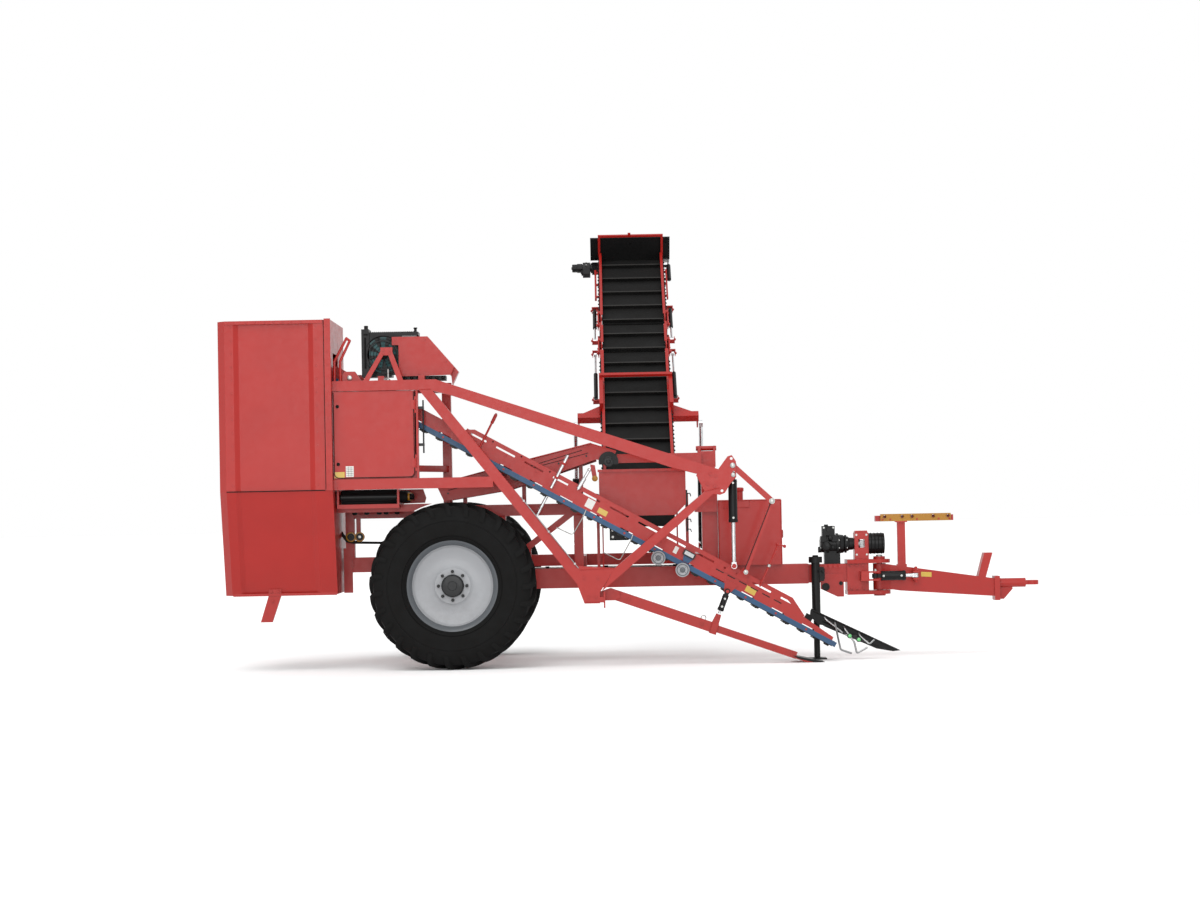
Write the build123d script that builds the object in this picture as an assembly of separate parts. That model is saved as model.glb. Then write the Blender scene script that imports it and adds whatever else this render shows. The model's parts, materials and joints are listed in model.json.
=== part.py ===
# Trailed one-row root crop harvester, in millimetres.
# +X is the way it is towed, +Y is its left side and +Z is up.
# While it is modelled, X = 0 is the axle, Y = 0 the middle between the wheels and Z = 0 the ground;
# the last lines move everything so that the origin is the bottom centre of the bounding box.
import math
import os
from build123d import *

# ---------------------------------------------------------------- driving sizes
CLEAR = 5.0              # least gap between pieces that move past each other
RUN = 0.05               # radial clearance of a pin in its eye
SEAT = 0.3               # gap between a belt and what it runs on

TYRE_R = 825.0           # over the lugs
TYRE_W = 460.0
LUG_H = 36.0
LUG_COUNT = 26           # lugs on each shoulder
LUG_W = 46.0
LUG_SLANT = 38.0         # degrees from straight across
LUG_FOOT = 24.0          # how deep a lug's foot lies in the carcass
BEAD = 22.0              # rim lip above the bead seat
RIM_R = 470.0            # outside of the rim lip
SIDE_R = RIM_R + 0.39 * (TYRE_R - RIM_R)          # where the side wall is widest
SHOULDER_R = RIM_R + 0.65 * (TYRE_R - RIM_R)
SHOULDER_W = 56.0
DISC_R = 408.0
HUB_R = 112.0
WHEEL_Y = 1120.0         # middle of each tyre
AXLE_Z = TYRE_R
STUB_R = 45.0
NUT_R = 17.0             # across the corners
NUT_RING = 143.0
NUT_COUNT = 8

BEAM = 200.0             # main beam and axle beam, square
BEAM_TOP = 957.0
BEAM_Y = -450.0          # middle of the main beam
BEAM_FRONT = 3570.0
REAR_BEAM = 150.0
REAR_END = -1100.0
FAR_BEAM_Y = 575.0
FAR_BEAM_FRONT = 2600.0

SIDE_Y0 = -1300.0        # near side frame, outer face
SIDE_Y1 = -1200.0        # and inner face
RAIL = 100.0
TOP_RAIL_Z = 2764.0      # underside of the top rails
LOW_RAIL_Z = 1791.0      # underside of the lower rail
FRAME_X0 = -1152.0       # rear end of the rails, against the chute

PLATE = 16.0             # gusset plates
NOSE_HOLES = ((2770.0, 2028.0, 14.0), (2790.0, 1892.0, 12.0), (2672.0, 1712.0, 14.0))   # X, Z, radius
INNER_Y0 = -550.0        # inner frame posts
INNER_Y1 = -450.0

CHUTE_X0 = -2272.0
CHUTE_Y0 = -1350.0
CHUTE_Y1 = -150.0
CHUTE_TOP = 3470.0
CHUTE_FOLD = 1790.0
CHUTE_LOW = 760.0
CHUTE_LEAN = 290.0       # how far the near wall leans in below the fold
CHUTE_LEAN_FAR = 150.0
CHUTE_BEVEL = 75.0       # cut off the rear corner of the near wall
CHUTE_PANEL = (-2110.0, -2062.0, -1374.0, -1323.0)   # X of the folds beside the recessed panel
PANEL_DEPTH = 24.0
FLANGE_X0 = -1214.0
SHEET = 12.0             # folded sheet walls

ROLLER_Z = 1715.0
ROLLER_R = 70.0
ROLLER_Y = (-1030.0, -860.0, -690.0)
ROLLER_X0 = -1135.0
BELT_PULLEYS = ((-1060.0, -971.0), 1317.0)         # X of each, Z
ROLLER_LEAD = 270.0      # from the tyre, at the rollers' height, to the rollers' frame

LIFT_PIVOT = (-982.0, 2897.0)      # X, Z of the lifting unit's hinge
LIFT_SLOPE = 28.97                 # degrees down towards the front
LIFT_Y0 = -1060.0                  # outer faces of the lifting unit
LIFT_Y1 = -800.0
LIFT_MID = 0.5 * (LIFT_Y0 + LIFT_Y1)
LIFT_LEN = 5494.0                  # pivot to nose along the slope
LIFT_TUBE_R = 40.0
LIFT_TUBE_Y0 = -1150.0
LIFT_TUBE_Y1 = -580.0
BEAM_LOW = -52.0                   # edges of the lifting unit's beams, above its slope line
BEAM_HIGH = 66.0
RAIL_LOW = -112.0                  # edges of its belt rails
RAIL_HIGH = -62.0
GUARD_LOW = 84.0                   # edges of the guard rail over the near beam
GUARD_HIGH = 128.0
GUARD_S = 1242.0
REAR_S = -200.0                    # rear end of the beams and rails
GRIP_BELT = 7.0                    # thickness of the gripping belts
GRIP_ROLL = 20.0
BELT_HIGH = -74.0
GUARD_PITCH = 320.0                # from one pad of the guard rail to the next
PAD_PITCH = 340.0                  # from one pad between beam and rail to the next
IDLERS = ((3532.0, -147.0), (3800.0, -139.0))      # S, N of the idler discs
ROLLER_PITCH = 340.0

SHARE_PIVOT = (1604.0, 702.0)
SHARE_Y0 = -1165.0
SHARE_Y1 = -1085.0

LIFT_CYL_Y = -1130.0               # plane of the lift and depth cylinders
LIFT_CYL_TOP = (2786.0, 1867.0)
LIFT_EYE_AT = (4231.4, 134.3)      # along and above the lifting unit's slope
DEPTH_TOP_AT = (4289.9, -117.9)
DEPTH_EYE_S = 1032.2               # along the share beam from its pivot
DEPTH_EYE_N = 121.3                # above the share beam's line
SHARE_SLOPE = 19.6                 # degrees down towards the blade
SHARE_ARM = 1062.0                 # length of the thick part of the share beam
SHARE_LEN = 1888.0                 # pivot to the blade's root

LINK_TOP = (2782.0, 1960.0)
LINK_KNEE = (3164.0, 1602.0)
LINK_Y0 = SIDE_Y0 + PLATE + CLEAR
LINK_Y1 = LINK_Y0 + 20.0
LINK_PIN_R = 16.0
LINK_EYE_AT = (4355.8, 134.6)

STEER_PIVOT = (4300.0, -450.0)     # X, Y
STEER_BASE = (4235.0, -655.0)
STEER_EYE = (4645.0, -655.0)
STEER_Z = 825.0
FORK_TOP = 990.0
FORK_LOW = 636.0
FORK_PLATE = 38.0
TONGUE_TOP = 946.0
TONGUE_LOW = 680.0
RACK_SEAT = 935.0
RACK_HOLES = (4352.0, 4530.0, 4630.0, 4845.0, 4995.0)
HITCH_X = 5850.0
TONGUE_END = HITCH_X - 387.0
HITCH_ARM = HITCH_X - 80.0
HITCH_Z = 724.0
HITCH_BORE = 25.0

PTO_Z = 1150.0

JACK_X = 3631.0
JACK_Y = -670.0
JACK_R = 43.0
JACK_LEG_R = 31.0
JACK_TOP = 1030.0
JACK_SLEEVE_LOW = 400.0
JACK_LEG_TOP = 580.0
JACK_LIFT = 380.0

DOOR_HINGE = (-337.0, -1296.0)     # X, Y
DOOR_X0 = -1147.0
DOOR_T = 30.0
DOOR_ROUND = 60.0                  # lower corner
DOOR_KNUCKLES = (2000.0, 2575.0)   # lower ends of the hinge knuckles
KNUCKLE = 90.0

ELEV_X0 = 1530.0                   # belt edges
ELEV_X1 = 2210.0
ELEV_WALL = 14.0
ELEV_TAIL = (-556.0, 1791.0)       # Y, Z of the tail shaft
ELEV_SLOPE = 38.94                 # degrees
ELEV_ROLL = 70.0                   # belt roller radius
BELT_T = 12.0
ELEV_WALL_LOW = -110.0              # wall edges, measured from the tail shaft's line
ELEV_WALL_TOP = 150.0
KNEE_N = 76.0                      # knee pins, on the upper run of the belt
KNEE_1 = 2212.0                    # along the slope from the tail shaft
KNEE_2 = 2730.0
ELEV_END = 3986.0
FLIGHT_PITCH = 271.0
FLIGHT_H = 38.0
BED_BAR_R = 22.0
ELEV_PIN_R = 30.0
WALL_GAP = 4.0                     # from the belt's edge to its side wall
RIG_S = 1060.0                     # arms out to the base cylinders
HOOP_S = 1560.0                    # hoop over the belt
HOOP_N = 190.0
HOOD_N = 330.0

COOLER_FAN = (-659.0, 3126.0)      # X, Z
BASE_CYL_X = (1226.0, 2544.0)
BASE_FOOT = (575.0, 1145.0)        # Y, Z
BASE_EYE_S = 1100.0
BASE_EYE_N = -60.0
KNEE_CYL_N = -40.0
KNEE_CYL_OUT = 64.0                # knee cylinders' lines, out from the side walls

CONVEYOR_DRIVE = (1562.0, 2030.0)  # X, Z
HOPPER = (1462.0, 2334.0, -750.0, 60.0, 1480.0, 1950.0)


# ---------------------------------------------------------------- shapes
def block(x0, x1, y0, y1, z0, z1):
    """Box between two corners."""
    centre = Pos((x0 + x1) / 2, (y0 + y1) / 2, (z0 + z1) / 2)
    return centre * Box(x1 - x0, y1 - y0, z1 - z0)


def side_plate(points, y0, y1):
    """Plate with an outline in X and Z, from y0 to y1."""
    outline = Polyline([Vector(x, y0, z) for x, z in points], close=True)
    return extrude(make_face(outline), amount=y1 - y0, dir=(0, 1, 0))


def end_plate(points, x0, x1):
    """Plate with an outline in Y and Z, from x0 to x1."""
    outline = Polyline([Vector(x0, y, z) for y, z in points], close=True)
    return extrude(make_face(outline), amount=x1 - x0, dir=(1, 0, 0))


def flat_plate(points, z0, z1):
    """Plate with an outline in X and Y, from z0 to z1."""
    outline = Polyline([Vector(x, y, z0) for x, y in points], close=True)
    return extrude(make_face(outline), amount=z1 - z0, dir=(0, 0, 1))


def round_bar(start, end, radius):
    """Cylinder between two points."""
    a, b = Vector(*start), Vector(*end)
    axis = Plane(origin=a, z_dir=b - a)
    return axis * Cylinder(radius, (b - a).length, align=(Align.CENTER, Align.CENTER, Align.MIN))


def turned_x(profile, y, z):
    """Solid of revolution about a line along X, from (x, radius) points."""
    ends = (profile[0][0], 0), (profile[-1][0], 0)
    outline = [Vector(x, 0, r) for x, r in (ends[0], *profile, ends[1])]
    return Pos(0, y, z) * revolve(make_face(Polyline(outline, close=True)), axis=Axis.X)


def bent_tube(points, radius):
    """Tube along straight runs, with a ball at each bend."""
    runs = [round_bar(a, b, radius) for a, b in zip(points, points[1:])]
    bends = [Pos(*p) * Sphere(radius) for p in points[1:-1]]
    return fused(*runs, *bends)


def strip(start, end, below, above, y0, y1):
    """Straight bar in a side view: from start to end, with its edges below and above that line."""
    (ax, az), (bx, bz) = start, end
    length = math.hypot(bx - ax, bz - az)
    nx, nz = -(bz - az) / length, (bx - ax) / length
    points = [
        (ax + nx * below, az + nz * below),
        (bx + nx * below, bz + nz * below),
        (bx + nx * above, bz + nz * above),
        (ax + nx * above, az + nz * above),
    ]
    return side_plate(points, y0, y1)


def fused(first, *others):
    """One solid from pieces that meet."""
    return first.fuse(*others) if others else first


def aimed_block(start, line, across, width, height, length):
    """Block from a point along a line, width measured along across."""
    frame = Plane(origin=start, x_dir=across, z_dir=line)
    return frame * Box(width, height, length, align=(Align.CENTER, Align.CENTER, Align.MIN))


def on_slope(s, n):
    """X and Z of a point of the lifting unit: s down its slope from the pivot, n above that line."""
    a = math.radians(LIFT_SLOPE)
    x, z = LIFT_PIVOT
    return x + s * math.cos(a) + n * math.sin(a), z - s * math.sin(a) + n * math.cos(a)


def from_slope(x, z):
    """The s and n of a point given in X and Z."""
    a = math.radians(LIFT_SLOPE)
    dx, dz = x - LIFT_PIVOT[0], z - LIFT_PIVOT[1]
    return dx * math.cos(a) - dz * math.sin(a), dx * math.sin(a) + dz * math.cos(a)


LIFT_CYL_EYE = on_slope(*LIFT_EYE_AT)
DEPTH_TOP = on_slope(*DEPTH_TOP_AT)
LINK_EYE = on_slope(*LINK_EYE_AT)


def on_share(s, n):
    """X and Z of a point of the share beam: s down its slope from the pivot, n above that line."""
    a = math.radians(SHARE_SLOPE)
    x, z = SHARE_PIVOT
    return x + s * math.cos(a) + n * math.sin(a), z - s * math.sin(a) + n * math.cos(a)


DEPTH_EYE = on_share(DEPTH_EYE_S, DEPTH_EYE_N)


def lift_plate(points, y0, y1):
    """Plate of the lifting unit, with its outline in s and n."""
    return side_plate([on_slope(s, n) for s, n in points], y0, y1)


def lift_box(s0, s1, n0, n1, y0, y1):
    return lift_plate([(s0, n0), (s1, n0), (s1, n1), (s0, n1)], y0, y1)


def on_elevator(s, n):
    """Y and Z of a point of the elevator: s up its slope from the tail shaft, n above that line."""
    a = math.radians(ELEV_SLOPE)
    return ELEV_TAIL[0] + s * math.cos(a) - n * math.sin(a), ELEV_TAIL[1] + s * math.sin(a) + n * math.cos(a)


def elevator_plate(points, x0, x1):
    """Plate of the elevator, with its outline in s and n."""
    return end_plate([on_elevator(s, n) for s, n in points], x0, x1)


def elevator_box(s0, s1, n0, n1, x0, x1):
    return elevator_plate([(s0, n0), (s1, n0), (s1, n1), (s0, n1)], x0, x1)


def elevator_bar(s, n, x0, x1, radius):
    y, z = on_elevator(s, n)
    return round_bar((x0, y, z), (x1, y, z), radius)


# ---------------------------------------------------------------- wheels
def tyre():
    """Carcass about the Y axis with its slanted lugs, which meet in a chevron."""
    half = TYRE_W / 2
    tread = TYRE_R - LUG_H
    bead = RIM_R - BEAD
    right = [(half - 60, bead), (half, SIDE_R), (half - 6, SHOULDER_R), (half - SHOULDER_W, tread)]
    outline = [Vector(0, y, r) for y, r in right] + [Vector(0, -y, r) for y, r in reversed(right)]
    carcass = revolve(make_face(Polyline(outline, close=True)), axis=Axis.Y)
    slant = math.radians(LUG_SLANT)
    reach = (half / 2 - LUG_W / 2 * math.sin(slant)) / math.cos(slant)
    corner = reach * math.sin(slant) + LUG_W / 2 * math.cos(slant)
    top = math.sqrt(TYRE_R ** 2 - corner ** 2)
    side = [
        (-reach, tread - LUG_FOOT), (-reach, top), (reach - 50, top), (reach, top - 68),
        (reach - 8, SHOULDER_R), (reach - 60, tread - LUG_FOOT)]
    bar = side_plate(side, -LUG_W / 2, LUG_W / 2)
    lugs = []
    for sign in (-1, 1):
        placed = Pos(0, sign * half / 2, 0) * Rot(0, 0, sign * (90 - LUG_SLANT)) * bar
        for i in range(LUG_COUNT):
            step = i + (0.5 if sign > 0 else 0.0)
            lugs.append(Rot(0, 360.0 / LUG_COUNT * step, 0) * placed)
    return fused(carcass, *lugs)


def rim(outer_side):
    """Rim and disc about the Y axis; outer_side is -1 or 1, where the disc's face looks."""
    half = TYRE_W / 2 - 60
    seat = RIM_R - BEAD - 0.5
    face = half - 96
    # Y towards the outer side, radius
    profile = [
        (-half, seat), (half, seat), (half, seat - 24), (half - 60, seat - 30), (face, DISC_R - 20),
        (face, 190), (face + 26, 172), (face + 26, HUB_R), (half - 16, HUB_R - 14), (half - 16, 0),
        (half - 40, 0), (half - 40, STUB_R + RUN), (-half + 40, STUB_R + RUN), (-half + 40, 100), (face - 16, 120),
        (face - 16, DISC_R - 24), (-half, seat - 26)]
    wheel = revolve(make_face(Polyline([Vector(0, y, r) for y, r in profile], close=True)), axis=Axis.Y)
    hexagon = extrude(Plane.XZ * RegularPolygon(NUT_R, 6), amount=-22)
    nut = Pos(0, face + 26, NUT_RING) * hexagon
    nuts = [Rot(0, 360.0 / NUT_COUNT * i, 0) * nut for i in range(NUT_COUNT)]
    wheel = fused(wheel, *nuts)
    return wheel if outer_side > 0 else Rot(0, 0, 180) * wheel


def wheels():
    carcass = tyre()
    return {
        "tyre_right": Pos(0, -WHEEL_Y, AXLE_Z) * carcass,
        "tyre_left": Pos(0, WHEEL_Y, AXLE_Z) * Rot(0, 0, 180) * carcass,
        "rim_right": Pos(0, -WHEEL_Y, AXLE_Z) * rim(-1),
        "rim_left": Pos(0, WHEEL_Y, AXLE_Z) * rim(1),
    }


# ---------------------------------------------------------------- chassis
def chassis():
    """Main beam, axle beam with its stubs, rear beam, far beam and cross members."""
    low = BEAM_TOP - BEAM
    axle_end = WHEEL_Y - TYRE_W / 2 - 60
    half = BEAM / 2
    main = block(half, BEAM_FRONT, BEAM_Y - half, BEAM_Y + half, low, BEAM_TOP)
    axle = block(-half, half, -axle_end, axle_end, low, BEAM_TOP)
    stub_end = WHEEL_Y + TYRE_W / 2 - 60 - 45
    stubs = round_bar((0, -stub_end, AXLE_Z), (0, stub_end, AXLE_Z), STUB_R)
    rear_y = (BEAM_Y - half, BEAM_Y - half + REAR_BEAM)
    rear = block(REAR_END, 560, *rear_y, BEAM_TOP, BEAM_TOP + REAR_BEAM)
    plate = block(REAR_END - 40, REAR_END + 50, rear_y[0] - 15, rear_y[0], 752, 1204)
    far = block(REAR_END, FAR_BEAM_FRONT, FAR_BEAM_Y - 75, FAR_BEAM_Y + 75, BEAM_TOP, BEAM_TOP + 120)
    tie = []
    for x in (REAR_END, 1200, FAR_BEAM_FRONT - 160):
        tie.append(block(x, x + 120, rear_y[1], FAR_BEAM_Y, BEAM_TOP, BEAM_TOP + 120))
    foot_y, foot_z = BASE_FOOT
    for x in BASE_CYL_X:
        for x0 in (x - 40, x + 26):
            tie.append(block(x0, x0 + 14, foot_y - 40, foot_y + 40, BEAM_TOP + 110, foot_z + 30))
        tie.append(round_bar((x - 40, *BASE_FOOT), (x + 40, *BASE_FOOT), 16))
    # stands that hold the elevator's tail between them
    ty, tz = ELEV_TAIL
    stand = [(ty - 44, BEAM_TOP), (ty + 70, BEAM_TOP), (ty + 50, tz + 40), (ty - 50, tz + 40), (ty - 60, 1100)]
    for side in (-1, 1):
        tie.append(end_plate(stand, *wall_faces(side, 12, 26)))
        tie.append(elevator_bar(0, 0, *wall_faces(side, 2 - ELEV_WALL, 26), ELEV_PIN_R))
    return {"chassis": fused(main, axle, stubs, rear, plate, far, *tie)}


def pivot_ear(y0, y1, hole_r):
    """Ear that stands on a top rail and holds the lifting unit's hinge pin."""
    rail_top = TOP_RAIL_Z + RAIL
    x, z = LIFT_PIVOT
    ear = side_plate([(x - 118, rail_top), (x + 118, rail_top), (x + 52, z + 63), (x - 52, z + 63)], y0, y1)
    return ear - round_bar((x, y0 - 1, z), (x, y1 + 1, z), hole_r)


def side_frame():
    """Near side frame: rails, V arms, gussets and the share bracket."""
    y = (SIDE_Y0, SIDE_Y1)
    plate_y = (SIDE_Y0, SIDE_Y0 + PLATE)
    top = block(FRAME_X0, -120, *y, TOP_RAIL_Z, TOP_RAIL_Z + RAIL)
    slope = side_plate([(-132, 2864), (2640, 1926), (2550, 1850), (2178, 1952), (34, 2700), (-200, 2764)], *y)
    low = block(FRAME_X0, 420, *y, LOW_RAIL_Z, LOW_RAIL_Z + RAIL + 4)
    arm_left = side_plate([(-297, 2766), (-169, 2766), (1262, 960), (1300, 720), (1228, 822)], *y)
    arm_right = side_plate(
        [(2560, 1860), (2506, 1711), (1594, 965), (1470, 745), (2254, 1397), (2650, 1740)], *y)
    gusset = side_plate(
        [(1230, 1000), (1600, 972), (1452, 735), (1450, 628), (1298, 628), (1228, 822)], *plate_y)
    foot = side_plate([(1294, 712), (1452, 735), (1450, 640), (1298, 640)], *y)
    nose = side_plate(
        [(2490, 1968), (2420, 1870), (2506, 1700), (2650, 1672), (2700, 1690), (2755, 1780), (2815, 1845),
         (2815, 2000), (2775, 2062), (2733, 2050), (2640, 1926)], *plate_y)
    for x, z, radius in NOSE_HOLES:
        nose = nose - round_bar((x, plate_y[0] - 1, z), (x, plate_y[1] + 1, z), radius)
    # bracket that carries the share beam
    x, z = SHARE_PIVOT
    share_ears = []
    for y0 in (SHARE_Y0 - CLEAR - PLATE, SHARE_Y1 + CLEAR):
        ear = [(x - 155, z - 52), (x - 155, z + 33), (x - 44, z + 68), (x + 36, z + 38), (x + 46, z - 22),
               (x - 4, z - 52)]
        share_ears.append(side_plate(ear, y0, y0 + PLATE))
    bridge = block(x - 184, x - 104, SIDE_Y1, SHARE_Y1 + CLEAR + PLATE, z - 50, z + 32)
    share_pin = round_bar((x, SHARE_Y0 - 10, z), (x, SHARE_Y1 + 10, z), 20)
    x, z = LIFT_CYL_TOP
    lift_pin = round_bar((x, plate_y[1] - 4, z), (x, LIFT_CYL_Y + 40, z), 18)
    lift_collar = round_bar((x, LINK_Y1 + 2 * CLEAR, z), (x, LIFT_CYL_Y - 32, z), 30)
    x, z = LINK_TOP
    link_pin = round_bar((x, SIDE_Y0, z), (x, LINK_Y1 + CLEAR, z), LINK_PIN_R)
    hx, hy = DOOR_HINGE
    post = block(hx + 9, hx + 29, hy + 6, SIDE_Y1, LOW_RAIL_Z + RAIL, TOP_RAIL_Z + 4)
    hinge = []
    for z in DOOR_KNUCKLES:
        hinge.append(round_bar((hx, hy, z - 36), (hx, hy, z + KNUCKLE + 36), 6))
        for z0 in (z - 36, z + KNUCKLE + 6):
            hinge.append(block(hx - 4, hx + 12, hy - 5, hy + 7, z0, z0 + 30))
    # grab loop at the rear of the top rail
    mid = 0.5 * (SIDE_Y0 + SIDE_Y1)
    rail_top = TOP_RAIL_Z + RAIL
    loop = bent_tube([(-1128, mid, rail_top - 10), (-1128, mid, 3060), (-1004, mid, 3288), (-972, mid, 3262),
                      (-1070, mid, 3060), (-1070, mid, rail_top - 10)], 13)
    ear = pivot_ear(SIDE_Y1 - 20, SIDE_Y1 + 40, 25 + RUN)
    return {"side_frame": fused(
        top, slope, low, arm_left, arm_right, gusset, foot, nose, bridge, *share_ears, share_pin, lift_pin,
        lift_collar, link_pin, ear, post, *hinge, loop)}


def inner_frame():
    """Inner posts and rails behind the lifting unit, with the deck over it."""
    y = (INNER_Y0, INNER_Y1)
    floor_z = BEAM_TOP + REAR_BEAM
    pieces = [
        block(-1118, -1028, *y, floor_z, TOP_RAIL_Z),
        block(-1118, -20, *y, TOP_RAIL_Z, TOP_RAIL_Z + RAIL),
        block(-118, -28, *y, 1500, TOP_RAIL_Z),
        block(-1028, 330, *y, 1500, 1566),
        block(-118, 1300, *y, 1500, 1616),
        block(1201, 1293, *y, BEAM_TOP, 1500),
        block(420, 510, *y, floor_z, 1500),
    ]
    brace = strip((690, 1150), (1182, 1520), -32, 32, *y)
    foot = side_plate([(640, BEAM_TOP), (760, BEAM_TOP), (760, 1200), (690, 1200)], *y)
    pieces += [brace, foot]
    deck = [
        block(-700, -640, SIDE_Y1 - 60, INNER_Y1, TOP_RAIL_Z + RAIL, TOP_RAIL_Z + RAIL + 44),
        block(-300, -240, SIDE_Y1 - 60, INNER_Y1, TOP_RAIL_Z + RAIL, TOP_RAIL_Z + RAIL + 44),
    ]
    ear = pivot_ear(INNER_Y0 - 20, INNER_Y0 + 40, 25 + RUN)
    return {"inner_frame": fused(pieces[0], *pieces[1:], *deck, ear)}


def mast():
    """Mast on the main beam, its fork at the top and the beam to the conveyor."""
    y = (INNER_Y0, INNER_Y1 + 50)
    column = block(2500, 2659, *y, BEAM_TOP, 1925)
    head = block(2490, 2642, *y, 1925, 2121)
    fork = [block(2470, 2500, *y, 1960, 2174), block(2629, 2650, *y, 1960, 2174)]
    pin = round_bar((2455, -475, 2150), (2662, -475, 2150), 24)
    cross = block(2430, 2660, INNER_Y0 - 30, INNER_Y1 + 50, 1503, 1608)
    beam = block(1648, 2500, INNER_Y0 - 100, INNER_Y0 + 0, 2014, 2104)
    knuckle = block(2440, 2500, INNER_Y0 - 100, INNER_Y0 + 20, 1990, 2104)
    return {"mast": fused(column, head, *fork, pin, cross, beam, knuckle)}


# ---------------------------------------------------------------- rear chute
def chute():
    """Tall folded sheet chute, open below, with a window towards the lifting unit."""
    x0, x1 = CHUTE_X0, FRAME_X0
    p0, p1, p2, p3 = CHUTE_PANEL

    def section(z, near, far, inset):
        """Outline of the walls' outer face at a height, or of their inner face at an inset."""
        deep = PANEL_DEPTH + inset
        points = [
            (x0 + inset, near + CHUTE_BEVEL), (x0 + CHUTE_BEVEL, near + inset), (p0, near + inset),
            (p1, near + deep), (p2, near + deep), (p3, near + inset), (x1 - inset, near + inset),
            (x1 - inset, far - inset), (x0 + inset, far - inset)]
        return make_face(Polyline([Vector(x, y, z) for x, y in points], close=True))

    near_low = CHUTE_Y0 + CHUTE_LEAN
    far_low = CHUTE_Y1 - CHUTE_LEAN_FAR
    tall = CHUTE_TOP - CHUTE_FOLD
    upper = extrude(section(CHUTE_FOLD, CHUTE_Y0, CHUTE_Y1, 0), amount=tall, dir=(0, 0, 1))
    at_fold, inside_fold = (section(CHUTE_FOLD, CHUTE_Y0, CHUTE_Y1, inset) for inset in (0, SHEET))
    lower = loft([section(CHUTE_LOW, near_low, far_low, 0), at_fold], ruled=True)
    start = section(CHUTE_FOLD - 0.01, CHUTE_Y0, CHUTE_Y1, SHEET)
    hollow_up = extrude(start, amount=tall - SHEET, dir=(0, 0, 1))
    hollow_low = loft([section(CHUTE_LOW - 1, near_low, far_low, SHEET), inside_fold], ruled=True)
    window = block(x1 - 40, x1 + 5, -1160, -700, 2300, 3150)
    body = fused(upper, lower) - hollow_up - hollow_low - window
    flange = block(FLANGE_X0, x1, CHUTE_Y0 - 16, CHUTE_Y0 + SHEET, CHUTE_FOLD, CHUTE_TOP + 10)
    lip = block(x0 + CHUTE_BEVEL, FLANGE_X0 - 14, CHUTE_Y0 - 8, CHUTE_Y0 + SHEET, CHUTE_TOP - 34, CHUTE_TOP)
    strut_y = (CHUTE_Y0 + CHUTE_LEAN, CHUTE_Y0 + CHUTE_LEAN + 40)
    strut = side_plate(
        [(-1838, CHUTE_LOW + 60), (-1713, CHUTE_LOW + 60), (-1713, CHUTE_LOW), (-1805, 493), (-1922, 493),
         (-1838, CHUTE_LOW)], *strut_y)
    return {"rear_chute": fused(body, flange, lip, strut)}


# ---------------------------------------------------------------- cooler on the deck
def cooler():
    deck = TOP_RAIL_Z + RAIL + 44
    y = (-1120.0, -860.0)
    frame = block(-870, -795, y[0], y[1], deck, 3384)
    top = block(-795, -309, y[0] + 40, y[1] + 30, 3319, 3354)
    rear_leg = block(-340, -309, y[1], y[1] + 30, 2864, 3319)
    core = block(-795, -575, y[0] + 30, y[1], deck, 3319)
    fan_x, fan_z = COOLER_FAN
    fan = [
        round_bar((fan_x, y[0] + 30, fan_z), (fan_x, y[0], fan_z), 150)
        - round_bar((fan_x, y[0] + 20, fan_z), (fan_x, y[0] - 1, fan_z), 136),
        round_bar((fan_x, y[0] + 20, fan_z), (fan_x, y[0] + 4, fan_z), 42)]
    knobs = [round_bar((x, -1000, z), (x, -1000, z + 40), radius)
             for x, z, radius in ((-340, 3354, 14), (-832, 3384, 20))]
    guard = side_plate(
        [(-565, 3300), (-212, 3300), (48, 2996), (14, 2914), (-300, deck), (-500, deck), (-500, 3219),
         (-565, 3219)], y[0] - 30, y[1])
    inside = side_plate([(-570, 3290), (-216, 3290), (36, 2994), (4, 2920), (4, deck - 1), (-570, deck - 1)],
                        y[0] - 20, y[1] + 1)
    guard = guard - inside
    ears = side_plate([(14, 2914), (48, 2996), (88, 2948), (25, 2816)], y[0] + 40, y[1] - 80)
    stand_y = (SIDE_Y0, SIDE_Y0 + 35)
    rail_top = TOP_RAIL_Z + RAIL
    legs = [
        side_plate([(-840, rail_top), (-786, rail_top), (-595, 3185), (-645, 3185)], *stand_y),
        side_plate([(-504, rail_top), (-448, rail_top), (-565, 3185), (-615, 3185)], *stand_y),
    ]
    apex = side_plate([(-666, 3188), (-549, 3188), (-549, 3110), (-666, 3110)], *stand_y)
    return {
        "oil_cooler": Compound(children=[frame, core, top, rear_leg, *fan, *knobs]),
        "cooler_guard": fused(guard, ears),
        "cooler_stand": fused(legs[0], legs[1], apex),
    }


# ---------------------------------------------------------------- rear rollers and conveyor
def rollers():
    """Cleaning rollers behind the tyre, in a frame that ends short of it."""
    z, r = ROLLER_Z, ROLLER_R
    low = z - r - 2 * CLEAR - 30
    reach = math.sqrt(TYRE_R ** 2 - (low - AXLE_Z) ** 2) if low < AXLE_Z + TYRE_R else 0.0
    x0, x1 = ROLLER_X0, -reach - ROLLER_LEAD
    side_y = ROLLER_Y[0] - r - 60
    frame = fused(
        block(x0, x0 + 20, side_y, INNER_Y0, low, z + r + CLEAR),
        block(x1, x1 + 20, side_y, INNER_Y0, low, z + r + CLEAR),
        block(x0, x1 + 20, side_y, side_y + 20, low, low + 40),
    )
    rolls = []
    for y in ROLLER_Y:
        roll = round_bar((x0 + 35, y, z), (x1 - 12, y, z), r)
        rolls.append(fused(roll, round_bar((x0 + 20, y, z), (x1, y, z), 20)))
    pulley_x, pulley_z = BELT_PULLEYS
    pulleys = [round_bar((x, INNER_Y0 - 40, pulley_z), (x, INNER_Y0, pulley_z), 47) for x in pulley_x]
    return {
        "roller_bank": Compound(children=rolls),
        "roller_frame": frame,
        "belt_pulleys": fused(*pulleys),
    }


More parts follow.
